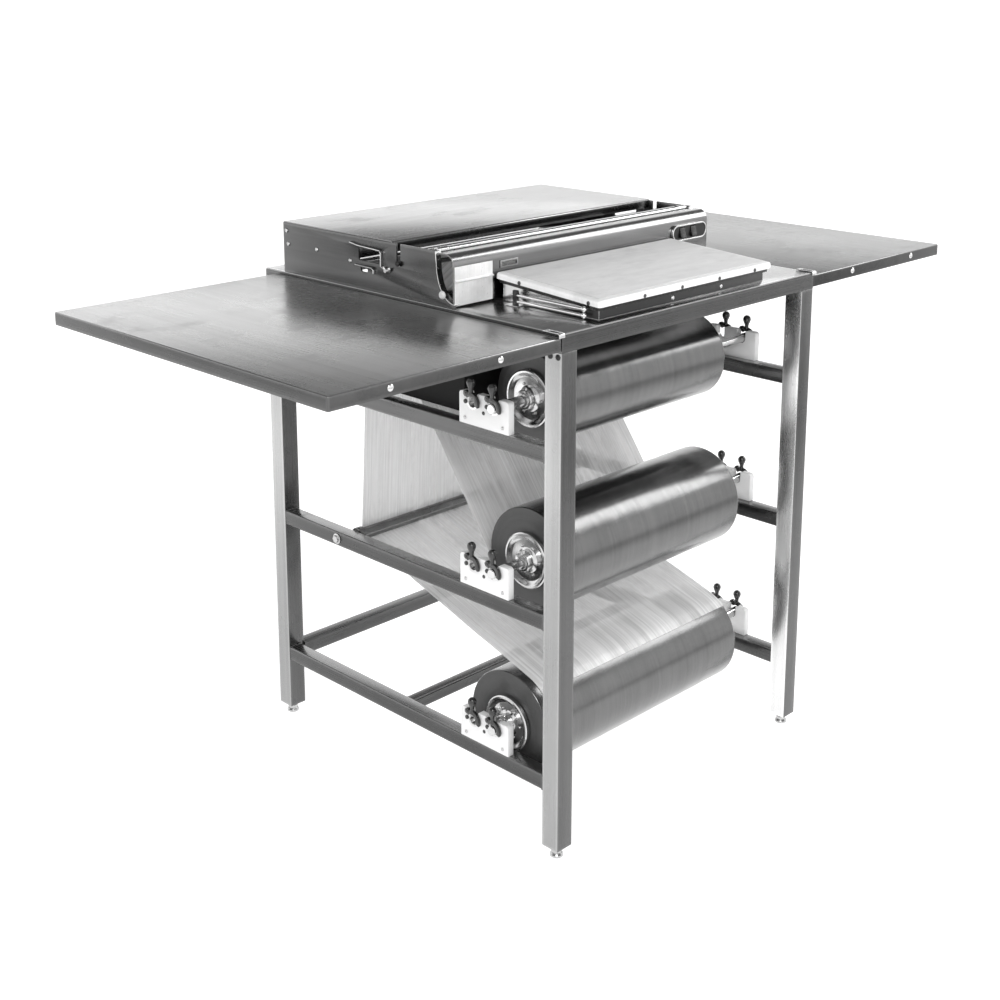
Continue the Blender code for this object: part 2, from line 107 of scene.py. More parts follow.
def radius_of(node: str) -> float:
    """The radius of a round node that lies along X."""
    low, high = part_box(node)
    return (high.z - low.z) / 2


def outer_face(node: str, sign: int) -> float:
    """The x of a node's face that looks away from the middle, on the side given by sign."""
    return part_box(node)[0 if sign < 0 else 1].x


# ---- mesh work -------------------------------------------------------------------------------------
class Bench:
    """Mesh work, one piece at a time."""

    masters: dict[tuple, tuple[bpy.types.Mesh, Vector]] = {}

    @staticmethod
    def pick(*objects: bpy.types.Object) -> None:
        """Selects these objects alone and makes the first one active."""
        bpy.ops.object.select_all(action="DESELECT")
        for obj in objects:
            obj.select_set(True)
        bpy.context.view_layer.objects.active = objects[0]

    @staticmethod
    @contextmanager
    def editing(obj: bpy.types.Object) -> Iterator[None]:
        """Opens a piece in edit mode with everything selected, and closes it again."""
        Bench.pick(obj)
        bpy.ops.object.mode_set(mode="EDIT")
        bpy.ops.mesh.select_mode(type="VERT")
        bpy.ops.mesh.select_all(action="SELECT")
        yield
        bpy.ops.object.mode_set(mode="OBJECT")

    @staticmethod
    def choose(obj: bpy.types.Object, kind: str, wanted: Callable[[Any], bool]) -> None:
        """Selects what wanted is true for, in edit mode.

        Args:
            obj: The piece.
            kind: "VERT", "EDGE" or "FACE".
            wanted: Says whether a vertex, an edge or a face is wanted.
        """
        bpy.ops.mesh.select_all(action="DESELECT")
        bpy.ops.mesh.select_mode(type=kind)
        bm = bmesh.from_edit_mesh(obj.data)
        for part in {"VERT": bm.verts, "EDGE": bm.edges, "FACE": bm.faces}[kind]:
            part.select_set(wanted(part))
        bmesh.update_edit_mesh(obj.data)

    @classmethod
    def open_faces(cls, obj: bpy.types.Object, wanted: Callable[[bmesh.types.BMFace], bool]) -> None:
        """Deletes the faces for which wanted is true."""
        with cls.editing(obj):
            cls.choose(obj, "FACE", wanted)
            bpy.ops.mesh.delete(type="FACE")

    @classmethod
    def repeat(cls, key: tuple, name: str, place: Point,
               make: Callable[[], bpy.types.Object]) -> bpy.types.Object:
        """Models a piece the first time and copies it to every later place.

        Args:
            key: What tells this piece from others.
            name: The piece's name.
            place: The point that it is moved by.
            make: Models the piece at place.

        Returns:
            The new object, with a mesh of its own.
        """
        place = Vector(place)
        if key not in cls.masters:
            made = make()
            made.name = name
            cls.masters[key] = (made.data.copy(), place)
            return made
        mesh, first = cls.masters[key]
        copied = bpy.data.objects.new(name, mesh.copy())
        copied.data.transform(Matrix.Translation(place - first))
        bpy.context.collection.objects.link(copied)
        return copied

    @classmethod
    def settle(cls, obj: bpy.types.Object) -> bpy.types.Object:
        """Moves an object's place, turn and size into its mesh."""
        cls.pick(obj)
        bpy.ops.object.transform_apply(location=True, rotation=True, scale=True)
        return obj

    @classmethod
    def modify(cls, obj: bpy.types.Object, kind: str, **settings: Any) -> bpy.types.Object:
        """Adds a modifier with its settings and applies it.

        Args:
            obj: The piece.
            kind: The modifier's type.
            settings: The modifier's properties.

        Returns:
            The piece.
        """
        modifier = obj.modifiers.new(kind.lower(), kind)
        for key, value in settings.items():
            setattr(modifier, key, value)
        cls.pick(obj)
        bpy.ops.object.modifier_apply(modifier=modifier.name)
        return obj

    @classmethod
    def bevel(cls, obj: bpy.types.Object, width: float, segments: int = 2,
              degrees: float = 28) -> bpy.types.Object:
        """Rounds every edge that turns by more than this angle."""
        return cls.modify(obj, "BEVEL", width=width, segments=segments, limit_method="ANGLE",
                          angle_limit=math.radians(degrees))

    @classmethod
    def wall(cls, obj: bpy.types.Object, thick: float, offset: float = -1.0) -> bpy.types.Object:
        """Gives a shell its thickness, inwards unless offset says otherwise."""
        return cls.modify(obj, "SOLIDIFY", thickness=thick, offset=offset, use_even_offset=True)

    @classmethod
    def smooth(cls, obj: bpy.types.Object, degrees: float = 32) -> bpy.types.Object:
        """Shades round surfaces smooth and keeps edges over this angle sharp."""
        cls.pick(obj)
        bpy.ops.object.shade_smooth_by_angle(angle=math.radians(degrees))
        return obj

    @classmethod
    def block(cls, name: str, low: Point, high: Point, edge: float = 0.0,
              segments: int = 2) -> bpy.types.Object:
        """A block between two corners with rounded edges.

        Args:
            name: The piece's name.
            low: Lowest corner.
            high: Highest corner.
            edge: Rounding of its edges, or 0.
            segments: Steps of the rounding.

        Returns:
            The new object.
        """
        bpy.ops.object.select_all(action="DESELECT")
        bpy.ops.mesh.primitive_cube_add(size=1.0, location=[(a + b) / 2 for a, b in zip(low, high)])
        obj = bpy.context.active_object
        obj.name = name
        obj.scale = [b - a for a, b in zip(low, high)]
        cls.settle(obj)
        if edge:
            cls.bevel(obj, edge, segments)
        return obj

    @classmethod
    def rod(cls, name: str, centre: Point, radius: float, length: float, axis: Axis = Axis.X,
            sides: int = 32, edge: float = 0.0) -> bpy.types.Object:
        """A round bar along an axis, with rounded rims.

        Args:
            name: The piece's name.
            centre: Its middle.
            radius: Its radius.
            length: Its length.
            axis: The axis it lies along.
            sides: Faces around it.
            edge: Rounding of its rims, or 0.

        Returns:
            The new object.
        """
        bpy.ops.object.select_all(action="DESELECT")
        bpy.ops.mesh.primitive_cylinder_add(vertices=sides, radius=radius, depth=length, location=centre,
                                            rotation=axis.turn)
        obj = cls.settle(bpy.context.active_object)
        obj.name = name
        if edge:
            cls.bevel(obj, edge, 2, 60)
        return obj

    @classmethod
    def ball(cls, name: str, centre: Point, radius: float, sides: int = 24) -> bpy.types.Object:
        """A ball."""
        bpy.ops.object.select_all(action="DESELECT")
        bpy.ops.mesh.primitive_uv_sphere_add(segments=sides, ring_count=sides // 2, radius=radius,
                                             location=centre)
        obj = cls.settle(bpy.context.active_object)
        obj.name = name
        return obj

    @classmethod
    def trace(cls, name: str, points: Sequence[Point], face: bool = False,
              ring: bool = False) -> bpy.types.Object:
        """A line of edges, extruded from one corner to the next.

        Args:
            name: The piece's name.
            points: The corners in order.
            face: Fill the outline.
            ring: Join the last corner to the first without a face.

        Returns:
            The new object.
        """
        bpy.ops.object.select_all(action="DESELECT")
        bpy.ops.mesh.primitive_plane_add(size=0.01, location=(0, 0, 0))
        obj = bpy.context.active_object
        obj.name = name
        with cls.editing(obj):
            bpy.ops.mesh.merge(type="CENTER")
            bpy.ops.transform.translate(value=points[0])
            for before, after in zip(points, points[1:]):
                step = [b - a for a, b in zip(before, after)]
                bpy.ops.mesh.extrude_vertices_move(TRANSFORM_OT_translate={"value": step})
            if ring:
                cls.choose(obj, "VERT", lambda v: len(v.link_edges) == 1)
                bpy.ops.mesh.edge_face_add()
            if face:
                bpy.ops.mesh.select_all(action="SELECT")
                bpy.ops.mesh.edge_face_add()
        return obj

    @classmethod
    def sweep(cls, obj: bpy.types.Object, along: Point, steps: int = 1) -> bpy.types.Object:
        """Extrudes the whole outline along a vector, in one or more steps."""
        step = [part / steps for part in along]
        with cls.editing(obj):
            for _ in range(steps):
                bpy.ops.mesh.extrude_region_move(TRANSFORM_OT_translate={"value": step})
            bpy.ops.mesh.select_all(action="SELECT")
            bpy.ops.mesh.normals_make_consistent(inside=False)
        return obj

    @classmethod
    def plate(cls, name: str, outline: Sequence[Flat], low: float, high: float, axis: Axis = Axis.X,
              edge: float = 0.0, segments: int = 2) -> bpy.types.Object:
        """A flat plate with one outline.

        Args:
            name: The piece's name.
            outline: Its corners in the two other axes, in their order.
            low: Where it starts along the axis.
            high: Where it ends along the axis.
            axis: The axis of its thickness.
            edge: Rounding of its edges.
            segments: Steps of the rounding.

        Returns:
            The new object.
        """
        points = []
        for pair in outline:
            point = list(pair)
            point.insert(axis.index, low)
            points.append(tuple(point))
        obj = cls.trace(name, points, face=True)
        cls.sweep(obj, tuple((high - low) * part for part in axis.vector))
        if edge:
            cls.bevel(obj, edge, segments)
        return obj

    @classmethod
    def ribbon(cls, name: str, path: Sequence[Flat], low: float, high: float, thick: float,
               offset: float = 0.0, steps: int = 1) -> bpy.types.Object:
        """A folded sheet that follows a (y, z) path and runs from low to high along X."""
        obj = cls.trace(name, [(low, y, z) for y, z in path])
        cls.sweep(obj, (high - low, 0, 0), steps)
        return cls.wall(obj, thick, offset)

    @classmethod
    def lathe(cls, name: str, profile: Sequence[Flat], centre: Point, axis: Axis = Axis.X, steps: int = 48,
              ring: bool = False) -> bpy.types.Object:
        """Spins a profile of (radius, place along the axis) round an axis through centre.

        Args:
            name: The piece's name.
            profile: The profile's points.
            centre: The point that the profile's places are counted from.
            axis: The axis of the turn.
            steps: Faces around it.
            ring: The profile is a closed loop that doesn't touch the axis.

        Returns:
            The new object.
        """
        out = Vector((Axis.X if axis is Axis.Z else Axis.Z).vector)
        points = [Vector(centre) + out * radius + Vector(axis.vector) * along for radius, along in profile]
        obj = cls.trace(name, points, ring=ring)
        with cls.editing(obj):
            bpy.ops.mesh.spin(steps=steps, angle=math.tau, center=centre, axis=axis.vector)
            bpy.ops.mesh.select_all(action="SELECT")
            bpy.ops.mesh.remove_doubles(threshold=0.00002)
            bpy.ops.mesh.normals_make_consistent(inside=False)
        return cls.smooth(obj)

    @classmethod
    def join(cls, name: str, parts: Sequence[bpy.types.Object]) -> bpy.types.Object:
        """Joins loose parts into one piece."""
        cls.pick(*parts)
        bpy.ops.object.join()
        parts[0].name = name
        return parts[0]

    @classmethod
    def cut(cls, obj: bpy.types.Object, tools: Iterable[bpy.types.Object]) -> bpy.types.Object:
        """Cuts shapes out of a piece and removes them."""
        for tool in tools:
            cls.modify(obj, "BOOLEAN", operation="DIFFERENCE", solver="EXACT", object=tool)
            bpy.data.objects.remove(tool)
        return obj

    @classmethod
    def turn(cls, obj: bpy.types.Object, angle: float, axis: Axis, centre: Point) -> bpy.types.Object:
        """Turns a piece about an axis through centre, right-handed."""
        with cls.editing(obj):
            bpy.ops.transform.rotate(value=-angle, orient_axis=axis.name, center_override=centre)
        return obj

    @classmethod
    def screw_head(cls, name: str, centre: Point, radius: float, out: Point) -> bpy.types.Object:
        """A low domed screw head with a slot, facing out along an axis.

        Args:
            name: The piece's name.
            centre: The middle of its seat.
            radius: The head's radius.
            out: The direction that it faces, along a world axis.

        Returns:
            The new object.
        """
        return cls.repeat(("screw head", radius, out), name, centre,
                          lambda: cls.new_screw_head(Vector(centre), radius, out))

    @classmethod
    def new_screw_head(cls, centre: Vector, radius: float, out: Point) -> bpy.types.Object:
        """Spins a screw head's dome and cuts its slot."""
        rise, seat = radius * 0.42, 0.0002
        half_slot, slot_floor = radius * 0.13, rise * 0.35
        index = max(range(3), key=lambda i: abs(out[i]))
        way = 1 if out[index] > 0 else -1
        dome = [(0.0, rise)] + [(radius * math.sin(a), rise * math.cos(a)) for a in quarter_steps(5)]
        dome += [(radius, -seat), (0.0, -seat)]
        dome = [(r, way * along) for r, along in dome]
        head = cls.lathe("screw_head", dome, centre, list(Axis)[index], 20)
        reach = Vector((radius, radius, radius)) * 1.2
        low, high = centre - reach, centre + reach
        thin = (index + 1) % 3
        low[thin] = centre[thin] - half_slot
        high[thin] = centre[thin] + half_slot
        bottom = low if way > 0 else high
        bottom[index] = centre[index] + way * slot_floor
        return cls.cut(head, [cls.block("slot_tool", low, high)])


def quarter_steps(count: int) -> list[float]:
    """Angles from a first small step up to a right angle, in radians."""
    return [math.pi / 2 * i / count for i in range(1, count + 1)]


def arc(centre: Flat, radius: float, start: float, end: float, count: int) -> list[Flat]:
    """Points on an arc, angles in degrees."""
    angles = [math.radians(start + (end - start) * i / count) for i in range(count + 1)]
    return [(centre[0] + radius * math.cos(a), centre[1] + radius * math.sin(a)) for a in angles]


def both_ends(half: Sequence[Flat]) -> list[Flat]:
    """A turned profile from its right end to its middle, and its mirror image on the left."""
    return list(half) + [(radius, -along) for radius, along in reversed(half)]


# ---- shader work -----------------------------------------------------------------------------------
class Wire:
    """A number socket whose arithmetic adds Math nodes."""

    def __init__(self, recipe: "Recipe", socket: bpy.types.NodeSocket) -> None:
        """Wraps one output socket of a recipe's node tree."""
        self.recipe = recipe
        self.socket = socket

    def __add__(self, other: "Wire | float") -> "Wire":
        """Adds."""
        return self.recipe.math("ADD", self, other)

    __radd__ = __add__

    def __mul__(self, other: "Wire | float") -> "Wire":
        """Multiplies."""
        return self.recipe.math("MULTIPLY", self, other)

    __rmul__ = __mul__

    def __sub__(self, other: "Wire | float") -> "Wire":
        """Subtracts."""
        return self.recipe.math("SUBTRACT", self, other)

    def __rsub__(self, other: "Wire | float") -> "Wire":
        """Subtracts from a number."""
        return self.recipe.math("SUBTRACT", other, self)

    def least(self, other: "Wire | float") -> "Wire":
        """The smaller of two."""
        return self.recipe.math("MINIMUM", self, other)

    def most(self, other: "Wire | float") -> "Wire":
        """The larger of two."""
        return self.recipe.math("MAXIMUM", self, other)

    def root(self) -> "Wire":
        """The square root."""
        return self.recipe.math("SQRT", self)


class Recipe:
    """A material in the making, around one Principled shader."""

    def __init__(self, name: str) -> None:
        """Starts an empty material with a Principled shader and an output."""
        self.material = bpy.data.materials.new(name)
        self.material.use_nodes = True
        self.tree = self.material.node_tree
        self.tree.nodes.clear()
        self.shader = self.node("ShaderNodeBsdfPrincipled")
        self.node("ShaderNodeOutputMaterial", inputs={"Surface": self.shader.outputs["BSDF"]})
        ground = self.node("ShaderNodeTexCoord")
        self.place = ground.outputs["Object"]
        self.direction = ground.outputs["Normal"]

    def node(self, kind: str, settings: dict[str, Any] | None = None,
             inputs: dict[Any, Any] | None = None) -> bpy.types.Node:
        """Adds a node.

        Args:
            kind: The node's type.
            settings: Its properties, set first.
            inputs: Values, sockets or wires for its inputs, by name or number.

        Returns:
            The new node.
        """
        made = self.tree.nodes.new(kind)
        for key, value in (settings or {}).items():
            setattr(made, key, value)
        for key, value in (inputs or {}).items():
            self.plug(made.inputs[key], value)
        return made

    def plug(self, socket: bpy.types.NodeSocket, value: Any) -> None:
        """Links a wire or a socket to an input, or sets a plain value on it."""
        if isinstance(value, Wire):
            value = value.socket
        if isinstance(value, bpy.types.NodeSocket):
            self.tree.links.new(value, socket)
        else:
            socket.default_value = value

    def math(self, operation: str, *values: "Wire | float") -> Wire:
        """A Math node on one or two values."""
        made = self.node("ShaderNodeMath", {"operation": operation}, dict(enumerate(values)))
        return Wire(self, made.outputs[0])

    def stretched(self, scale: Point) -> bpy.types.NodeSocket:
        """Object coordinates, stretched along each axis."""
        made = self.node("ShaderNodeMapping", inputs={"Vector": self.place, "Scale": scale})
        return made.outputs["Vector"]

    def noise(self, scale: Point | float, detail: float = 3.0, rough: float = 0.5) -> Wire:
        """Noise from 0 to 1 that has this many features a metre along each axis."""
        scale = (scale, scale, scale) if isinstance(scale, (int, float)) else scale
        made = self.node("ShaderNodeTexNoise", inputs={
            "Vector": self.stretched(scale), "Scale": 1.0, "Detail": detail, "Roughness": rough})
        return Wire(self, made.outputs[0])

    def ease(self, value: Wire, low: float, high: float) -> Wire:
        """0 below low, 1 above high, and a smooth step between."""
        made = self.node("ShaderNodeMapRange", {"interpolation_type": "SMOOTHSTEP"}, {
            "Value": value, "From Min": low, "From Max": high})
        return Wire(self, made.outputs[0])

    def split(self, vector: bpy.types.NodeSocket) -> tuple[Wire, Wire, Wire]:
        """The x, y and z of a vector."""
        made = self.node("ShaderNodeSeparateXYZ", inputs={"Vector": vector})
        return tuple(Wire(self, out) for out in made.outputs)

    def axes(self) -> tuple[Wire, Wire, Wire]:
        """The x, y and z of a surface point."""
        return self.split(self.place)

    def facing(self) -> tuple[Wire, Wire, Wire]:
        """The x, y and z of the surface's direction, on the piece itself."""
        return self.split(self.direction)

    @staticmethod
    def distance(first: Wire, second: Wire, spot: Flat) -> Wire:
        """How far two coordinates are from a spot."""
        a = first - spot[0]
        b = second - spot[1]
        return (a * a + b * b).root()

    def shaded(self, colour: bpy.types.NodeSocket, share: Wire) -> bpy.types.NodeSocket:
        """A colour made darker or lighter by a number."""
        made = self.node("ShaderNodeVectorMath", {"operation": "SCALE"}, {0: colour, "Scale": share})
        return made.outputs[0]

    def greys(self, mask: Wire, dark: float, light: float) -> bpy.types.NodeSocket:
        """A grey between two tones."""
        return self.blend(mask, (dark, dark, dark, 1.0), (light, light, light, 1.0))

    def blend(self, mask: Wire, first: Any, second: Any) -> bpy.types.NodeSocket:
        """A second colour over a first one by a mask."""
        return self.node("ShaderNodeMix", {"data_type": "RGBA"}, {0: mask, 6: first, 7: second}).outputs[2]

    def edge_distance(self, low: Point, high: Point) -> Wire:
        """How far a point on a box's surface is from the box's nearest edge."""
        near = []
        for value, start, stop in zip(self.axes(), low, high):
            near.append((value - start).least(stop - value).most(0.0))
        first, second, third = near
        return first.least(second).most(first.most(second).least(third))

    def relief(self, height: Wire, distance: float, strength: float = 1.0) -> None:
        """Bumps the surface by a height."""
        made = self.node("ShaderNodeBump", inputs={
            "Height": height, "Distance": distance, "Strength": strength})
        self.tree.links.new(made.outputs["Normal"], self.shader.inputs["Normal"])

    def finish(self, **sockets: Any) -> bpy.types.Material:
        """Sets or links the shader's sockets; underscores in their names stand for spaces."""
        for key, value in sockets.items():
            self.plug(self.shader.inputs[key.replace("_", " ")], value)
        return self.material


# ---- finishes --------------------------------------------------------------------------------------
@dataclass(frozen=True)
class SatinSteel:
    """Brushed stainless sheet or tube, with its grain along one axis; its faces towards X and Y can be painted
    lighter or darker than its tops, as painted light and shade, and its edges painted brighter, as rubbed wear and
    a painted edge highlight.
    """

    tone: float = 0.36
    roughness: float = 0.30
    grain: Axis = Axis.X
    contrast: float = 0.4
    wear: float = 0.5
    across_x: float = 1.0
    across_y: float = 1.0
    slot: str = "satin_steel"

    def make(self, name: str, low: Point | None = None, high: Point | None = None) -> bpy.types.Material:
        """Makes the material; low and high are the box whose edges are painted bright, as rubbed wear and a
        painted edge highlight.

        Args:
            name: The material's name.
            low: The box's lowest corner, or None for no bright edges.
            high: The box's highest corner.

        Returns:
            The material.
        """
        recipe = Recipe(name)
        along, across = 2.5, 900.0
        fine = [across if axis is not self.grain else along for axis in Axis]
        broad = [across / 14 if axis is not self.grain else along / 2 for axis in Axis]
        hair = recipe.noise(tuple(fine), 4.0, 0.65)
        streak = recipe.noise(tuple(broad), 2.0)
        cloud = recipe.noise(5.0, 4.0, 0.6)
        smear = recipe.ease(recipe.noise((11.0, 17.0, 13.0), 5.0, 0.7), 0.52, 0.72)
        mask = (hair - 0.5) * (1.1 * self.contrast) + (streak - 0.5) * (1.2 * self.contrast)
        mask = mask + (cloud - 0.5) * (1.3 * self.contrast) + 0.5
        colour = recipe.greys(recipe.ease(mask, 0.0, 1.0), self.tone * 0.74, self.tone * 1.22)
        # Faces towards X and towards Y are painted lighter or darker than the rest by a factor each: painted light
        # and shade by face direction.
        nx, ny, _ = recipe.facing()
        share = nx * nx * (self.across_x - 1.0) + ny * ny * (self.across_y - 1.0) + 1.0
        colour = recipe.shaded(colour, share)
        rough = (cloud - 0.5) * 0.16 + (hair - 0.5) * 0.12 + smear * 0.07 + self.roughness
        # Edges painted brighter: partly rubbed wear, partly a painted edge highlight.
        if low is not None:
            ragged_band = recipe.noise(140.0, 3.0) * 0.0035 + 0.0005
            edge = 1.0 - recipe.ease(recipe.edge_distance(low, high) - ragged_band, 0.0, 0.0025)
            bright = recipe.shaded(recipe.greys(edge, self.tone * 1.5, self.tone * 1.5), share)
            colour = recipe.blend(edge * self.wear, colour, bright)
        recipe.relief(hair * 0.7 + cloud * 0.3, 0.00012, 0.55)
        return recipe.finish(Base_Color=colour, Metallic=1.0, Roughness=rough)


@dataclass(frozen=True)
class BrightSteel:
    """Turned or plated steel with fine rings of tooling and light tarnish."""

    tone: float = 0.58
    roughness: float = 0.16
    turned: Axis = Axis.X
    metal: float = 1.0
    slot: str = "plated_steel"

    def make(self, name: str) -> bpy.types.Material:
        """Makes the material."""
        recipe = Recipe(name)
        rings = recipe.noise(tuple(1400.0 if axis is self.turned else 6.0 for axis in Axis), 3.0, 0.6)
        tarnish = recipe.noise(28.0, 5.0, 0.65)
        spots = recipe.ease(recipe.noise(190.0, 2.0), 0.66, 0.74)
        mask = (rings - 0.5) * 0.6 + (tarnish - 0.5) * 0.9 - spots * 0.25 + 0.55
        colour = recipe.greys(recipe.ease(mask, 0.0, 1.0), self.tone * 0.72, self.tone * 1.16)
        rough = (tarnish - 0.5) * 0.14 + spots * 0.12 + rings * 0.05 + self.roughness
        recipe.relief(rings, 0.00006, 0.6)
        return recipe.finish(Base_Color=colour, Metallic=self.metal, Roughness=rough)


@dataclass(frozen=True)
class Plastic:
    """Moulded or machined plastic with fine texture, dust and rubbed spots."""

    tone: float
    roughness: float
    slot: str
    grain: float = 700.0
    dirt: float = 0.25
    coat: float = 0.0

    def make(self, name: str) -> bpy.types.Material:
        """Makes the material."""
        recipe = Recipe(name)
        texture = recipe.noise(self.grain, 2.0)
        dirt = recipe.ease(recipe.noise(38.0, 5.0, 0.7), 0.48, 0.78)
        mottle = recipe.noise(90.0, 3.0)
        mask = dirt * self.dirt + (mottle - 0.5) * 0.2 + (texture - 0.5) * 0.12
        far = self.tone * 0.70 if self.tone > 0.3 else self.tone + 0.018
        colour = recipe.greys(recipe.ease(mask, 0.0, 1.0), self.tone, far)
        rough = dirt * 0.12 + (mottle - 0.5) * 0.08 + self.roughness
        recipe.relief(texture * 0.6 + mottle * 0.4, 0.00010, 0.4)
        return recipe.finish(Base_Color=colour, Roughness=rough, Coat_Weight=self.coat, Coat_Roughness=0.08)


@dataclass(frozen=True)
class Enamel:
    """Black enamelled sheet with an orange-peel skin, dust and chipped edges."""

    tone: float = 0.009
    roughness: float = 0.30
    shine: float = 0.5
    slot: str = "black_enamel"

    def make(self, name: str, low: Point | None = None, high: Point | None = None) -> bpy.types.Material:
        """Makes the material, with chips along the edges of the box from low to high."""
        recipe = Recipe(name)
        peel = recipe.noise(420.0, 2.0)
        dust = recipe.ease(recipe.noise(46.0, 5.0, 0.7), 0.5, 0.85)
        colour = recipe.greys(dust, self.tone, self.tone + 0.014)
        metal: Wire | float = 0.0
        if low is not None:
            ragged = recipe.noise(260.0, 4.0, 0.7) * 0.0030 - 0.0008
            chip = 1.0 - recipe.ease(recipe.edge_distance(low, high) - ragged, 0.0, 0.0004)
            colour = recipe.blend(chip, colour, recipe.greys(peel, 0.22, 0.4))
            metal = chip
        recipe.relief(peel, 0.00015, 0.35)
        return recipe.finish(Base_Color=colour, Metallic=metal, Roughness=dust * 0.25 + self.roughness,
                             Specular_IOR_Level=self.shine)


@dataclass(frozen=True)
class WoundFilm:
    """The side and the ends of a tightly wound roll of film."""

    centre: Flat
    tone: float = 0.15
    slot: str = "wound_film"

    def make(self, name: str) -> bpy.types.Material:
        """Makes the material, with bands round the side and rings on the ends."""
        recipe = Recipe(name)
        _, y, z = recipe.axes()
        out = recipe.distance(y, z, self.centre)
        layers = recipe.node("ShaderNodeCombineXYZ", inputs={"X": out * 2600.0})
        ring_noise = recipe.node("ShaderNodeTexNoise", inputs={
            "Vector": layers.outputs[0], "Scale": 1.0, "Detail": 3.0, "Roughness": 0.7})
        rings = Wire(recipe, ring_noise.outputs[0])
        threads = recipe.noise((820.0, 5.0, 5.0), 4.0, 0.7)
        bands = recipe.noise((85.0, 3.0, 3.0), 3.0, 0.6)
        cloud = recipe.noise(14.0, 4.0, 0.6)
        end = recipe.ease(recipe.math("ABSOLUTE", recipe.facing()[0]), 0.75, 0.95)
        side = (threads - 0.5) * 0.55 + (bands - 0.5) * 0.40 + (cloud - 0.5) * 0.45 + 0.5
        face = (rings - 0.5) * 0.8 + (cloud - 0.5) * 0.5 + 0.42
        shell = recipe.greys(recipe.ease(side, 0.0, 1.0), self.tone * 0.70, self.tone * 1.30)
        disc = recipe.greys(recipe.ease(face, 0.0, 1.0), 0.012, 0.060)
        recipe.relief(threads * (1.0 - end) + rings * end, 0.00014, 0.4)
        rough = (threads - 0.5) * 0.10 + (cloud - 0.5) * 0.10 + end * 0.20 + 0.20
        return recipe.finish(Base_Color=recipe.blend(end, shell, disc), Metallic=(1.0 - end) * 0.92,
                             Roughness=rough, Coat_Weight=0.12, Coat_Roughness=0.15)


@dataclass(frozen=True)
class ClearFilm:
    """A web of slightly milky film, streaked along its run."""

    tone: float = 0.95
    slot: str = "clear_film"

    def make(self, name: str) -> bpy.types.Material:
        """Makes the material."""
        recipe = Recipe(name)
        streaks = recipe.noise((260.0, 2.2, 2.2), 4.0, 0.65)
        folds = recipe.noise((46.0, 3.0, 3.0), 3.0, 0.55)
        haze = recipe.noise(9.0, 3.0)
        mask = (streaks - 0.5) * 0.9 + (folds - 0.5) * 1.1 + 0.5
        colour = recipe.greys(recipe.ease(mask, 0.0, 1.0), self.tone * 0.72, self.tone * 1.12)
        cover = (streaks - 0.5) * 0.5 + (folds - 0.5) * 0.7 + (haze - 0.5) * 0.3 + 0.68
        recipe.relief(folds * 0.7 + streaks * 0.3, 0.0012, 0.5)
        return recipe.finish(Base_Color=colour, Roughness=(streaks - 0.5) * 0.12 + 0.24,
                             Alpha=cover.least(0.93).most(0.3), Specular_IOR_Level=0.35)


@dataclass(frozen=True)
class ReleaseSheet:
    """Woven coated glass cloth over the hot plate, browned and creased a little by heat."""

    tone: float = 0.56
    slot: str = "release_sheet"

    def make(self, name: str) -> bpy.types.Material:
        """Makes the material."""
        recipe = Recipe(name)
        x, y, _ = recipe.axes()
        pitch = 2400.0
        warp = recipe.math("SINE", x * pitch)
        weft = recipe.math("SINE", y * pitch)
        weave = warp * weft * 0.5 + 0.5
        creases = recipe.noise((16.0, 60.0, 20.0), 4.0, 0.6)
        stain = recipe.ease(recipe.noise((9.0, 12.0, 9.0), 5.0, 0.65), 0.45, 0.8)
        mask = weave * 0.18 + (creases - 0.5) * 0.5 + stain * 0.35 + 0.2
        colour = recipe.greys(recipe.ease(mask, 0.0, 1.0), self.tone * 1.12, self.tone * 0.70)
        recipe.relief(weave * 0.5 + creases * 0.5, 0.00025, 0.5)
        return recipe.finish(Base_Color=colour, Roughness=stain * 0.12 + creases * 0.12 + 0.36,
                             Metallic=0.15, Coat_Weight=0.15, Coat_Roughness=0.25)


CRADLE_WHITE = Plastic(0.78, 0.42, "cradle_plastic", grain=520.0, dirt=0.30)
KNOB_BLACK = Plastic(0.008, 0.12, "keeper_plastic", grain=300.0, dirt=0.12, coat=0.6)
SWITCH_BLACK = Plastic(0.012, 0.26, "black_plastic", grain=600.0, dirt=0.15, coat=0.2)


def hand_over(piece: bpy.types.Object, body: str, finish: Any, replaces: Sequence[str] = (),
              material: bpy.types.Material | None = None) -> bpy.types.Object:
    """Dresses a finished piece and fastens it to a body.

    Args:
        piece: The piece.
        body: The body it rides on.
        finish: The finish that makes its material when none is given.
        replaces: CAD nodes that it stands for.
        material: A material that was made already.

    Returns:
        The piece.
    """
    piece.data.materials.clear()
    piece.data.materials.append(material or finish.make(piece.name + "_finish"))
    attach(piece, body)
    if replaces:
        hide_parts(*replaces)
    LOG.info("%s on %s: %d faces", piece.name, body, len(piece.data.polygons))
    return piece


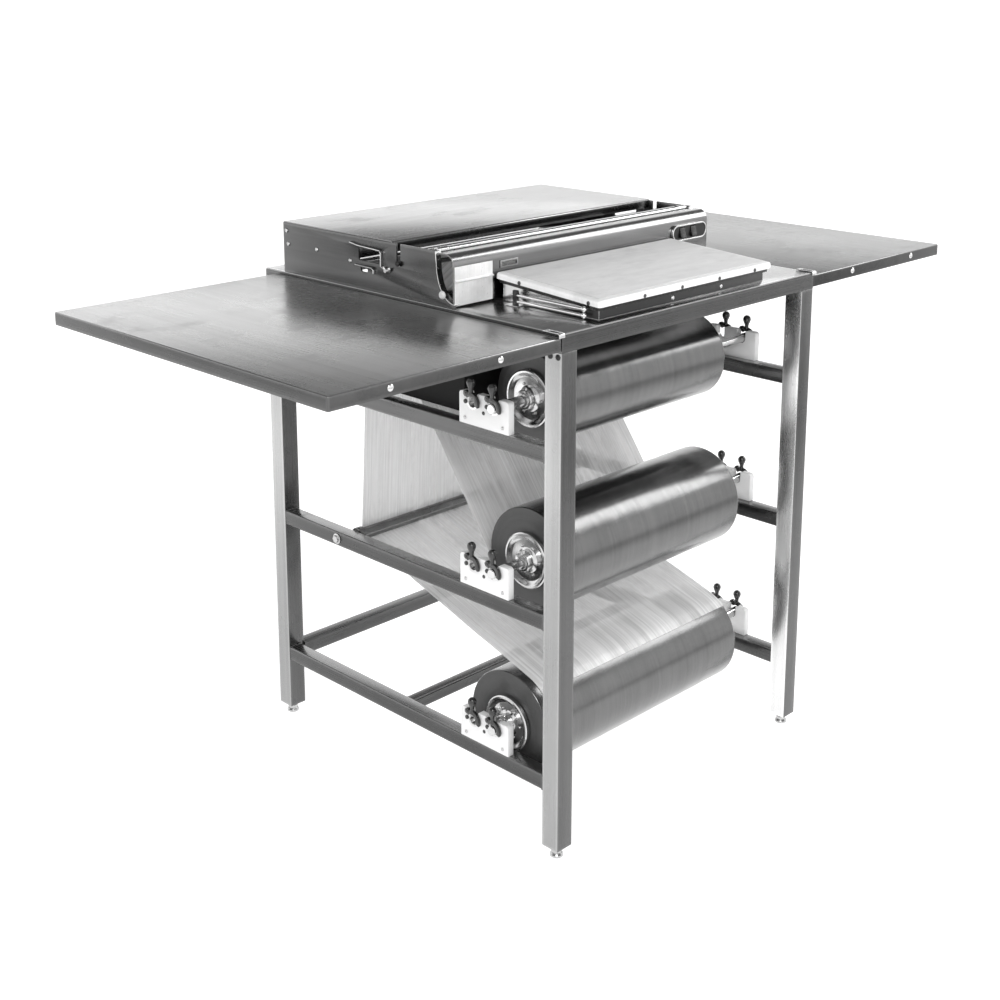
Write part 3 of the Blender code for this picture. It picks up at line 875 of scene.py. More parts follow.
# ---- the tube frame --------------------------------------------------------------------------------
@dataclass
class TubeFrame:
    """Legs, feet, rails and guide bars."""

    corner: float = 0.0032
    plug_rim: float = 0.0026
    plug_depth: float = 0.0015
    weld: float = 0.0016
    weld_rise: float = 0.0004
    pad_top: float = 0.0068
    nut_top: float = 0.0122
    thread_pitch: float = 0.0016
    # Tones of the one steel, set lighter or darker per part kind to stand in for how much light each catches:
    # painted light and shade.
    tones: dict[str, float] = field(default_factory=lambda: {
        "leg": 0.35, "rail": 0.27, "upper": 0.44, "bar": 0.20, "ring": 0.12})

    def build(self) -> None:
        """Builds every piece of the tube frame."""
        for end in ENDS:
            for side in SIDES:
                self.leg(end, side)
                self.foot(end, side)
        for side in SIDES:
            for level in LEVELS:
                self.rail(f"rail_{side}_{level}", Axis.Y)
        self.rail("rail_back_bottom", Axis.X)
        self.rail("guide_bar_bottom", Axis.X)
        self.round_bar()
        self.ring()

    def leg(self, end: str, side: str) -> None:
        """A square tube with rounded corners and a recessed plug in its foot."""
        node = f"leg_{end}_{side}"
        low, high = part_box(node)
        tube = Bench.block(node + "_tube", low, high)
        with Bench.editing(tube):
            Bench.choose(tube, "FACE", lambda f: f.normal.z < -0.9)
            bpy.ops.mesh.inset(thickness=self.plug_rim)
            bpy.ops.mesh.extrude_region_move(TRANSFORM_OT_translate={"value": (0, 0, self.plug_depth)})
        Bench.bevel(tube, self.corner, 4)
        Bench.smooth(tube)
        # Right legs get their X faces painted lighter, and all legs their Y faces darker: painted light and shade.
        inner = 2.3 if side == "right" else 1.0
        steel = SatinSteel(self.tones["leg"], 0.26, Axis.Z, 0.4, 0.35, inner, 0.36)
        hand_over(tube, "root", steel, [node], steel.make(node + "_steel", low, high))

    def foot(self, end: str, side: str) -> None:
        """Sets a levelling foot under a leg."""
        node = f"foot_{end}_{side}"
        place = middle_of(node)
        place.z = 0.0
        foot = Bench.repeat(("foot",), node + "_turned", place, lambda: self.new_foot(node, place))
        hand_over(foot, node, BrightSteel(0.5, 0.2, Axis.Z), [node])

    def new_foot(self, node: str, place: Vector) -> bpy.types.Object:
        """Models a levelling foot: round pad, hexagonal nut and threaded stem."""
        low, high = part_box(node)
        pad_r, stem_r, nut_r = (high.x - low.x) / 2, 0.0048, 0.0088
        top = self.pad_top + 0.0006
        rim = [(pad_r - 0.0012, 0), (pad_r, 0.0012), (pad_r, 0.0042), (pad_r - 0.0022, self.pad_top)]
        pad = Bench.lathe("pad", [(0, 0), *rim, (stem_r, top), (0, top)], place, Axis.Z, 40)
        nut = Bench.rod("nut", (place.x, place.y, (self.pad_top + self.nut_top) / 2), nut_r,
                        self.nut_top - self.pad_top, Axis.Z, 6, 0.0006)
        profile = [(0, self.pad_top)]
        turns = int((high.z - self.nut_top) / self.thread_pitch)
        for index in range(turns):
            at = self.nut_top + index * self.thread_pitch
            profile += [(stem_r - 0.0006, at), (stem_r, at + self.thread_pitch / 2)]
        profile += [(0, self.nut_top + turns * self.thread_pitch)]
        stem = Bench.lathe("stem", profile, place, Axis.Z, 20)
        return Bench.join("foot", [pad, nut, stem])

    def rail(self, node: str, axis: Axis) -> None:
        """A square tube with a weld bead round each end."""
        low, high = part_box(node)
        parts = [Bench.smooth(Bench.block(node + "_tube", low, high, self.corner * 0.8, 3))]
        rise = Vector((self.weld_rise, self.weld_rise, self.weld_rise))
        for way, corner in ((1, low), (-1, high)):
            bead_low, bead_high = low - rise, high + rise
            edge = corner[axis.index]
            ends = sorted((edge - way * 0.0002, edge + way * self.weld))
            bead_low[axis.index], bead_high[axis.index] = ends
            parts.append(Bench.smooth(Bench.block(node + "_bead", bead_low, bead_high, 0.0006, 2), 60))
        kind = "bar" if "bar" in node or "back" in node else "upper" if "upper" in node else "rail"
        # Rail faces towards X and Y are painted darker than their tops and bottoms: painted shade.
        steel = SatinSteel(self.tones[kind], 0.27, axis, 0.5, 0.5, 0.34 if kind == "rail" else 0.24, 0.5)
        piece = Bench.join(node + "_welded", parts)
        hand_over(piece, "root", steel, [node], steel.make(node + "_steel", low, high))

    def round_bar(self) -> None:
        """The round guide bar, held by a collar and a bolt head at each end."""
        node = "guide_bar_middle"
        low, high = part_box(node)
        middle, radius = middle_of(node), radius_of(node)
        y, z = middle.yz
        parts = [Bench.rod(node + "_bar", middle, radius, high.x - low.x, Axis.X, 40, 0.0006)]
        for sign in SIDES.values():
            collar = (sign * (high.x - 0.009), y, z)
            parts.append(Bench.rod(node + "_collar", collar, radius + 0.0035, 0.012, Axis.X, 40, 0.0008))
        for part in parts:
            Bench.smooth(part)
        hand_over(Bench.join(node + "_turned", parts), "root", BrightSteel(0.22, 0.22), [node])
        for side, sign in SIDES.items():
            rail = f"rail_{side}_middle"
            face, bolt_y, bolt_z = outer_face(rail, sign), y + 0.018, middle_of(rail).z
            place = (face + sign * 0.0025, bolt_y, bolt_z)
            head = Bench.rod(f"bar_bolt_{side}", place, 0.0065, 0.005, Axis.X, 6, 0.0006)
            place = (face + sign * 0.0007, bolt_y, bolt_z)
            washer = Bench.smooth(Bench.rod("washer", place, 0.0092, 0.0012, Axis.X, 28, 0.0003))
            hand_over(Bench.join(f"bar_bolt_{side}", [head, washer]), "root", BrightSteel(0.5, 0.22))

    def ring(self) -> None:
        """Dresses the top ring, which keeps its CAD shape, and adds the dark bolts of its front corners."""
        node = frame["nodes"]["top_frame"]
        steel = SatinSteel(self.tones["ring"], 0.28, Axis.X, 0.5, 0.35)
        node.data.materials.clear()
        node.data.materials.append(steel.make("top_frame_steel", *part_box("top_frame")))
        for side, sign in SIDES.items():
            leg_low, leg_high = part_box(f"leg_front_{side}")
            face = outer_face(f"leg_front_{side}", sign)
            for index, inset in enumerate((0.007, 0.022)):
                centre = (face + sign * SKIN, leg_low.y + inset, leg_high.z - 0.0065)
                bolt = Bench.screw_head(f"corner_bolt_{side}_{index}", centre, 0.0046, (sign, 0, 0))
                hand_over(bolt, "root", BrightSteel(0.05, 0.3))


# ---- the table -------------------------------------------------------------------------------------
@dataclass
class Table:
    """The table sheet and the two wing shelves."""

    sheet: float = 0.002
    fold: float = 0.0028
    screw: float = 0.0052
    tone: float = 0.42
    opening_half: float = 0.280
    rib_depth: float = 0.014
    rib_wall: float = 0.0012
    well_half: float = 0.2845
    well_front: float = -0.118
    well_back: float = 0.280
    well_drop: float = 0.138

    def build(self) -> None:
        """Builds the table's pieces."""
        self.pan()
        self.well()
        for side, sign in SIDES.items():
            self.shelf(side, sign)
            self.latch(side, sign)

    def well(self) -> None:
        """A black folded screen that stands in for the shade under the table top, in front of and beside the
        film's way up, open at the back.
        """
        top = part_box("top_frame")[0].z
        half, front, back = self.well_half, self.well_front, self.well_back
        bottom = top - self.well_drop
        corners = [(-half, back), (-half, front), (half, front), (half, back)]
        skirt = Bench.trace("film_well", [(x, y, bottom) for x, y in corners])
        Bench.sweep(skirt, (0, 0, top - bottom + 0.004))
        with Bench.editing(skirt):
            Bench.choose(skirt, "EDGE", lambda e: all(abs(v.co.z - bottom) < 1e-5 for v in e.verts))
            bpy.ops.mesh.extrude_edges_move(TRANSFORM_OT_translate={"value": (0, 0, 0)})
            bpy.ops.transform.resize(value=(0.965, 0.975, 1.0), center_override=(0, back, bottom))
            bpy.ops.mesh.select_all(action="SELECT")
            bpy.ops.mesh.normals_make_consistent(inside=False)
        Bench.bevel(Bench.wall(skirt, 0.0012), 0.0003, 1)
        # Near-black enamel with little shine: painted shade.
        hand_over(Bench.smooth(skirt), "root", Enamel(0.004, 0.55, 0.15))

    def latch(self, side: str, sign: int) -> None:
        """The bright slotted clip that locks a shelf to the table at its front corner."""
        low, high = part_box("top_pan")
        x0, x1 = sorted((sign * (high.x - 0.0050), sign * (high.x + 0.0070)))
        top, front = high.z + 0.0010, low.y - 0.0010
        path = [(front + 0.032, top), (front + 0.0022, top), (front + 0.0006, top - 0.0008),
                (front, top - 0.0024), (front, top - 0.0062)]
        clip = Bench.ribbon(f"shelf_clip_{side}", path, x0, x1, 0.0014)
        middle = (x0 + x1) / 2
        Bench.cut(clip, [Bench.block("slot_tool", (middle - 0.0032, front + 0.005, top - 0.01),
                                     (middle + 0.0032, front + 0.027, top + 0.01), 0.0030, 3)])
        Bench.bevel(clip, 0.0004, 2)
        hand_over(Bench.smooth(clip), "root", BrightSteel(0.72, 0.2, Axis.Y))
        rubber = Bench.block(f"shelf_clip_rubber_{side}",
                             (middle - 0.0038, front + 0.0045, high.z + 0.00005),
                             (middle + 0.0038, front + 0.0275, high.z + 0.0003), 0.0001, 1)
        hand_over(rubber, "root", Plastic(0.006, 0.5, "black_plastic"))

    def pan(self) -> None:
        """The table sheet, with its opening under the head and a soft folded edge."""
        low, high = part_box("top_pan")
        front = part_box("head_front_panel")[0].y + 0.024
        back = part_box("head_platform")[1].y - 0.022
        sheet = Bench.block("top_pan_sheet", low, high)
        Bench.cut(sheet, [Bench.block("opening_tool", (-self.opening_half, front, low.z - 0.01),
                                      (self.opening_half, back, high.z + 0.01))])
        Bench.bevel(sheet, 0.0009, 2)
        Bench.smooth(sheet)
        # The pan's tone is raised and its X and Y faces painted darker than its top: painted light and shade.
        steel = SatinSteel(self.tone * 1.3, 0.22, Axis.X, 0.5, 0.8, 0.4, 0.45)
        hand_over(sheet, "root", steel, ["top_pan"], steel.make("top_pan_steel", low, high))

    def shelf(self, side: str, sign: int) -> None:
        """A wing shelf folded from sheet: rounded folds, two ribs below and two rim screws."""
        node = f"shelf_{side}"
        low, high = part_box(node)
        tray = Bench.block(node + "_tray", low, high)
        Bench.open_faces(tray, lambda f: f.normal.z < -0.9)
        Bench.bevel(tray, self.fold, 4)
        Bench.smooth(Bench.wall(tray, self.sheet))
        # The left shelf is painted lighter and the right one darker, and their rims darker than their tops:
        # painted light and shade.
        steel = SatinSteel(self.tone * (1.12 if sign < 0 else 0.66), 0.28, Axis.Y, 0.4, 0.5, 0.20, 0.24)
        hand_over(tray, "root", steel, [node], steel.make(node + "_steel", low, high))

        sole = high.z - self.sheet - SKIN
        for index, share in enumerate((0.33, 0.67)):
            y = low.y + (high.y - low.y) * share
            flange = sole - self.rib_wall
            half = [(0.014, sole - self.rib_depth), (0.016, flange), (0.028, flange)]
            path = [(y - out, z) for out, z in reversed(half)] + [(y + out, z) for out, z in half]
            rib = Bench.ribbon(f"{node}_rib_{index}", path, low.x + 0.012, high.x - 0.012, self.rib_wall)
            Bench.bevel(rib, 0.0004, 1)
            hand_over(rib, "root", SatinSteel(0.28, 0.34, Axis.X, 0.4))
        for index, share in enumerate((0.24, 0.71)):
            x = low.x + (high.x - low.x) * (share if sign < 0 else 1 - share)
            z = (low.z + high.z) / 2 + 0.001
            head = Bench.screw_head(f"{node}_screw_{index}", (x, low.y - SKIN, z), self.screw, (0, -1, 0))
            hand_over(head, "root", BrightSteel(0.75, 0.2, Axis.Y))


# ---- the rolls -------------------------------------------------------------------------------------
@dataclass
class RollBay:
    """One level of the station: two cradles, four keepers, and the roll on its axle."""

    level: str
    axle: Flat
    spare_y: float
    core: float = 0.0378
    layers: int = 34
    rings: int = 14
    side_wobble: float = 0.00035
    end_wobble: float = 0.0004
    right_round: float = 0.0065
    left_round: float = 0.0022

    @classmethod
    def at(cls, level: str) -> "RollBay":
        """A bay whose places come from the frame's joints."""
        _, y, z = joint_place(f"roll_{level}_spin")
        front, back = (joint_place(f"keeper_left_{level}_{place}_swing")[1] for place in ENDS)
        return cls(level, (y, z), y + back - front)

    def build(self) -> None:
        """Builds the level."""
        self.film()
        self.spindle()
        for side, sign in SIDES.items():
            self.cradle(side, sign)
            for place, y in (("front", self.axle[0]), ("back", self.spare_y)):
                self.keeper(side, sign, place, y)
                self.liner(side, sign, place, y)

    def film(self) -> None:
        """The wound film: a ring with slightly uneven layers and soft shoulders."""
        node = f"film_roll_{self.level}"
        left, right = (corner.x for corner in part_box(node))
        radius, core = radius_of(node), self.core
        chance = random.Random(node)
        profile = []
        for index in range(self.layers + 1):
            along = (right - left - self.left_round - self.right_round) * index / self.layers
            profile.append((radius - self.side_wobble * chance.random(), left + self.left_round + along))
        for a in quarter_steps(6):
            profile.append((radius - self.right_round * (1 - math.cos(a)),
                            right - self.right_round * (1 - math.sin(a))))
        for index in range(1, self.rings + 1):
            r = radius - self.right_round - (radius - self.right_round - core) * index / self.rings
            profile.append((r, right - self.end_wobble * chance.random()))
        for index in range(self.rings + 1):
            r = core + (radius - self.left_round - core) * index / self.rings
            profile.append((r, left + self.end_wobble * chance.random()))
        for a in quarter_steps(3):
            profile.append((radius - self.left_round * (1 - math.sin(a)),
                            left + self.left_round * (1 - math.cos(a))))
        ring = Bench.lathe(node + "_wound", profile, (0, *self.axle), Axis.X, 96, ring=True)
        Bench.smooth(ring, 50)
        hand_over(ring, f"roll_{self.level}", WoundFilm(self.axle), [node])

    def spindle(self) -> None:
        """The axle with a dished hub wheel, a boss with its set screw and a chamfered tip at each end."""
        node = f"spindle_{self.level}"
        tips = [corner.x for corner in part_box(node)]
        ends = [corner.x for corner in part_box(f"film_roll_{self.level}")]
        axle, boss, core, hub = 0.0078, 0.0155, 0.0372, 0.045
        wheel = [(axle, 0.0200), (0.0105, 0.0192), (0.0112, 0.0160), (boss - 0.0010, 0.0156), (boss, 0.0146),
                 (boss, 0.0058), (boss + 0.0016, 0.0040), (boss + 0.0050, 0.0022), (0.0270, 0.0018),
                 (0.0330, 0.0024), (hub - 0.0085, 0.0044), (hub - 0.0066, 0.0066), (hub - 0.0048, 0.0078),
                 (hub - 0.0022, 0.0078), (hub - 0.0004, 0.0066), (hub, 0.0050), (hub, 0.0012),
                 (hub - 0.0010, 0.0004), (core, 0.0004), (core, -0.028), (axle, -0.028)]
        left, right = ([(0, tip), (axle - 0.0012, tip), (axle, tip - sign * 0.0012)]
                       + [(radius, end + sign * out) for radius, out in wheel]
                       for sign, tip, end in zip((-1, 1), tips, ends))
        turned = Bench.lathe("axle", right + list(reversed(left)), (0, *self.axle), Axis.X, 72)
        parts = [Bench.smooth(turned, 24)]
        y, z = self.axle
        for sign, end in zip((-1, 1), ends):
            place = (end + sign * 0.0105, y, z + boss)
            parts.append(Bench.rod("set_screw", place, 0.0026, 0.004, Axis.Z, 12, 0.0004))
            for across, up in arc((0.0, 0.0), 0.0235, 0, 300, 5):
                place = (end + sign * 0.0026, y + across, z + up)
                rivet = Bench.rod("rivet", place, 0.0022, 0.0022, Axis.X, 14, 0.0006)
                parts.append(Bench.smooth(rivet, 60))
        piece = Bench.join(node + "_hubs", parts)
        hand_over(piece, f"roll_{self.level}", BrightSteel(0.62, 0.15), [node])

    def cradle(self, side: str, sign: int) -> None:
        """Sets a cradle on its rail, with its three screws."""
        node = f"cradle_{side}_{self.level}"
        low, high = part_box(node)
        place = (0, *self.axle)
        plate = Bench.repeat(("cradle", side), node + "_plate", place, lambda: self.new_cradle(node))
        hand_over(plate, "root", CRADLE_WHITE, [node])
        face = outer_face(node, sign) + sign * SKIN
        places = [((low.y + high.y) / 2, 0.0235), (low.y + 0.012, 0.009), (high.y - 0.012, 0.009)]
        for index, (y, lift) in enumerate(places):
            screw = Bench.screw_head(f"{node}_screw_{index}", (face, y, low.z + lift), 0.0030, (sign, 0, 0))
            hand_over(screw, "root", BrightSteel(0.10 if index == 0 else 0.55, 0.25))

    def new_cradle(self, node: str) -> bpy.types.Object:
        """Models a cradle: a white plate with two open seats and round shoulders."""
        low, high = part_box(node)
        z = self.axle[1]
        seat, shoulder, mouth = 0.0086, 0.0052, 0.0022
        outline = [(high.y, low.z), (low.y, low.z)]
        outline += arc((low.y + shoulder, high.z - shoulder), shoulder, 180, 90, 6)
        for y in (self.axle[0], self.spare_y):
            outline += arc((y - seat - mouth, high.z - mouth), mouth, 90, 0, 3)
            outline += arc((y, z), seat, 180, 360, 14)
            outline += arc((y + seat + mouth, high.z - mouth), mouth, 180, 90, 3)
        outline += arc((high.y - shoulder, high.z - shoulder), shoulder, 90, 0, 6)
        return Bench.smooth(Bench.plate("cradle", outline, low.x, high.x, Axis.X, 0.0008, 2))

    def liner(self, side: str, sign: int, place: str, y: float) -> None:
        """Lines a seat with a bright half bush and sets the dark stop that the keeper rests on."""
        node = f"cradle_{side}_{self.level}"
        name = f"seat_{side}_{self.level}_{place}"
        z = self.axle[1]
        bush = Bench.repeat(("bush", side), name + "_liner", (0, y, z), lambda: self.new_bush(node, sign, y))
        hand_over(bush, "root", BrightSteel(0.66, 0.22))
        centre = (outer_face(node, sign) + sign * 0.0014, y + 0.0142, z - 0.0006)
        stop = Bench.repeat(("stop", side), name + "_stop", centre, lambda: Bench.smooth(
            Bench.rod("stop", centre, 0.0034, 0.0024, Axis.X, 20, 0.0006), 50))
        hand_over(stop, "root", Plastic(0.03, 0.5, "black_plastic"))

    def new_bush(self, node: str, sign: int, y: float) -> bpy.types.Object:
        """Models a half bush with a lip on the outer face of its cradle."""
        low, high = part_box(node)
        z = self.axle[1]
        inner, outer, rim = 0.0081, 0.0085, 0.0112
        path = arc((y, z), outer, 180, 360, 16) + arc((y, z), inner, 360, 180, 16)
        bush = Bench.plate("bush", path, low.x + 0.0004, high.x - 0.0004)
        face = outer_face(node, sign)
        ends = sorted((face + sign * 0.0002, face + sign * 0.0010))
        lip_path = arc((y, z), rim, 190, 350, 16) + arc((y, z), inner, 350, 190, 16)
        return Bench.smooth(Bench.join("bush", [bush, Bench.plate("lip", lip_path, *ends)]))

    def keeper(self, side: str, sign: int, place: str, y: float) -> None:
        """Sets a keeper over a seat."""
        node = f"keeper_{side}_{self.level}_{place}"
        middle = middle_of(f"cradle_{side}_{self.level}").x
        knob = Bench.repeat(("keeper", side), node + "_knob", (0, y, self.axle[1]),
                            lambda: self.new_keeper(middle, sign, y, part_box(node)[1].z))
        hand_over(knob, node, KNOB_BLACK, [node])

    def new_keeper(self, middle: float, sign: int, y: float, top: float) -> bpy.types.Object:
        """Models a keeper: ovoid knob, tapered stem, hook over the axle and pivot boss."""
        x0, x1 = sorted((middle + sign * 0.0072, middle + sign * 0.0122))
        x = (x0 + x1) / 2
        z = self.axle[1]
        knob_r, knob_rise = 0.0070, 0.0074
        ovoid = [(0, knob_rise)]
        ovoid += [(knob_r * math.sin(a), knob_rise * math.cos(a)) for a in quarter_steps(6)]
        ovoid += [(0.0064, -0.0030), (0.0050, -0.0062), (0.0036, -0.0095), (0.0032, -0.0130),
                  (0.0040, -0.0170), (0, -0.0180)]
        knob = Bench.lathe("knob", ovoid, (x, y, top - knob_rise), Axis.Z, 24)
        hook = arc((y, z), 0.0168, 200, 44, 16) + arc((y, z), 0.0098, 44, 200, 12)
        bow = Bench.plate("bow", hook, x0, x1, Axis.X, 0.0008, 2)
        pivot_y, pivot_z = y + 0.0095, z + 0.0135
        boss = Bench.rod("boss", (x, pivot_y, pivot_z), 0.0048, x1 - x0 + 0.001, Axis.X, 24, 0.0008)
        pin = Bench.rod("pin", (x + sign * 0.0032, pivot_y, pivot_z), 0.0022, 0.0014, Axis.X, 16, 0.0003)
        return Bench.join("keeper", [knob, Bench.smooth(bow, 40), Bench.smooth(boss, 40), pin])


# ---- the film webs ---------------------------------------------------------------------------------
@dataclass
class Web:
    """A stretch of film from a roll, round its bars, to the head."""

    level: str
    through_bar: bool
    thick: float = 0.0004
    layer: float = 0.0
    wave: float = 0.0016
    rows: int = 150
    columns: int = 36
    gap: float = 0.00075
    length: float = field(default=0.0, init=False)

    @staticmethod
    def tangent(first: tuple[Flat, float, int], second: tuple[Flat, float, int]) -> tuple[Vector, Vector]:
        """The straight run between two circles, each (centre, radius, +1 for a centre on the left)."""
        (c1, r1, s1), (c2, r2, s2) = first, second
        across = Vector(c2) - Vector(c1)
        angle = math.atan2(across.y, across.x) + math.acos((s2 * r2 - s1 * r1) / across.length)
        normal = Vector((math.cos(angle), math.sin(angle)))
        return Vector(c1) - s1 * r1 * normal, Vector(c2) - s2 * r2 * normal

    def circles(self) -> list[tuple[Flat, float, int]]:
        """The round things that the film passes, in order."""
        _, *axle = joint_place(f"roll_{self.level}_spin")
        turn = -1 if self.through_bar else 1
        found = [(tuple(axle), radius_of(f"film_roll_{self.level}") + self.gap, turn)]
        if self.through_bar:
            bar = "guide_bar_middle"
            found.append((tuple(middle_of(bar).yz), radius_of(bar) + self.gap, 1))
        for node in ("guide_roller_rear", "guide_roller_front"):
            _, *axle = joint_place(node + "_spin")
            found.append((tuple(axle), radius_of(node) + self.gap + self.layer, 1))
        return found

    def route(self) -> list[Flat]:
        """The film's path in (y, z), evenly spaced, with a few degrees wrapped on the roll."""
        circles = self.circles()
        runs = [self.tangent(a, b) for a, b in zip(circles, circles[1:])]
        centre, radius, side = circles[0]
        leave = math.degrees(math.atan2(runs[0][0].y - centre[1], runs[0][0].x - centre[0]))
        path = arc(centre, radius, leave - side * 24, leave, 8)
        for index, (_, land) in enumerate(runs):
            centre, radius, side = circles[index + 1]
            start = math.degrees(math.atan2(land.y - centre[1], land.x - centre[0]))
            if index + 1 < len(runs):
                off = runs[index + 1][0]
                end = math.degrees(math.atan2(off.y - centre[1], off.x - centre[0]))
            else:
                end = 100.0
            path += arc(centre, radius, start, end, 8)
        return self.even(path)

    def even(self, path: list[Flat]) -> list[Flat]:
        """The same path with self.rows equal steps."""
        lengths = [0.0]
        for a, b in zip(path, path[1:]):
            lengths.append(lengths[-1] + math.dist(a, b))
        self.length = lengths[-1]
        made, segment = [], 0
        for index in range(self.rows + 1):
            want = self.length * index / self.rows
            while segment < len(lengths) - 2 and lengths[segment + 1] < want:
                segment += 1
            span = lengths[segment + 1] - lengths[segment]
            share = (want - lengths[segment]) / span if span else 0.0
            a, b = path[segment], path[segment + 1]
            made.append((a[0] + (b[0] - a[0]) * share, a[1] + (b[1] - a[1]) * share))
        return made

    def build(self) -> None:
        """Builds the web as a thin streaked sheet with shallow folds along its run."""
        node = f"film_web_{self.level}"
        low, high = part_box(node)
        route = self.route()
        obj = Bench.trace(node + "_film", [(low.x, y, z) for y, z in route])
        Bench.sweep(obj, (high.x - low.x, 0, 0), self.columns)
        self.ripple(obj, route, low.x, high.x)
        Bench.modify(obj, "SOLIDIFY", thickness=self.thick, offset=0.0)
        Bench.smooth(obj, 60)
        hand_over(obj, "root", ClearFilm(), [node])

    def ripple(self, obj: bpy.types.Object, route: list[Flat], low: float, high: float) -> None:
        """Moves the free stretches out of flat by shallow folds that die out at the bars."""
        circles = self.circles()
        phase = 1.7 if self.through_bar else 0.4
        for vert in obj.data.vertices:
            y, z = vert.co.y, vert.co.z
            gap = min(abs(math.dist((y, z), c) - r) for c, r, _ in circles)
            free = min(1.0, gap / 0.06) ** 2
            u = (vert.co.x - low) / (high - low)
            lift = math.sin(u * 31 + phase + 4 * z) * 0.5 + math.sin(u * 12.4 - 2.2 * phase + 7 * y) * 0.8
            vert.co.y += self.wave * free * lift
            vert.co.z -= self.wave * 0.5 * free * lift


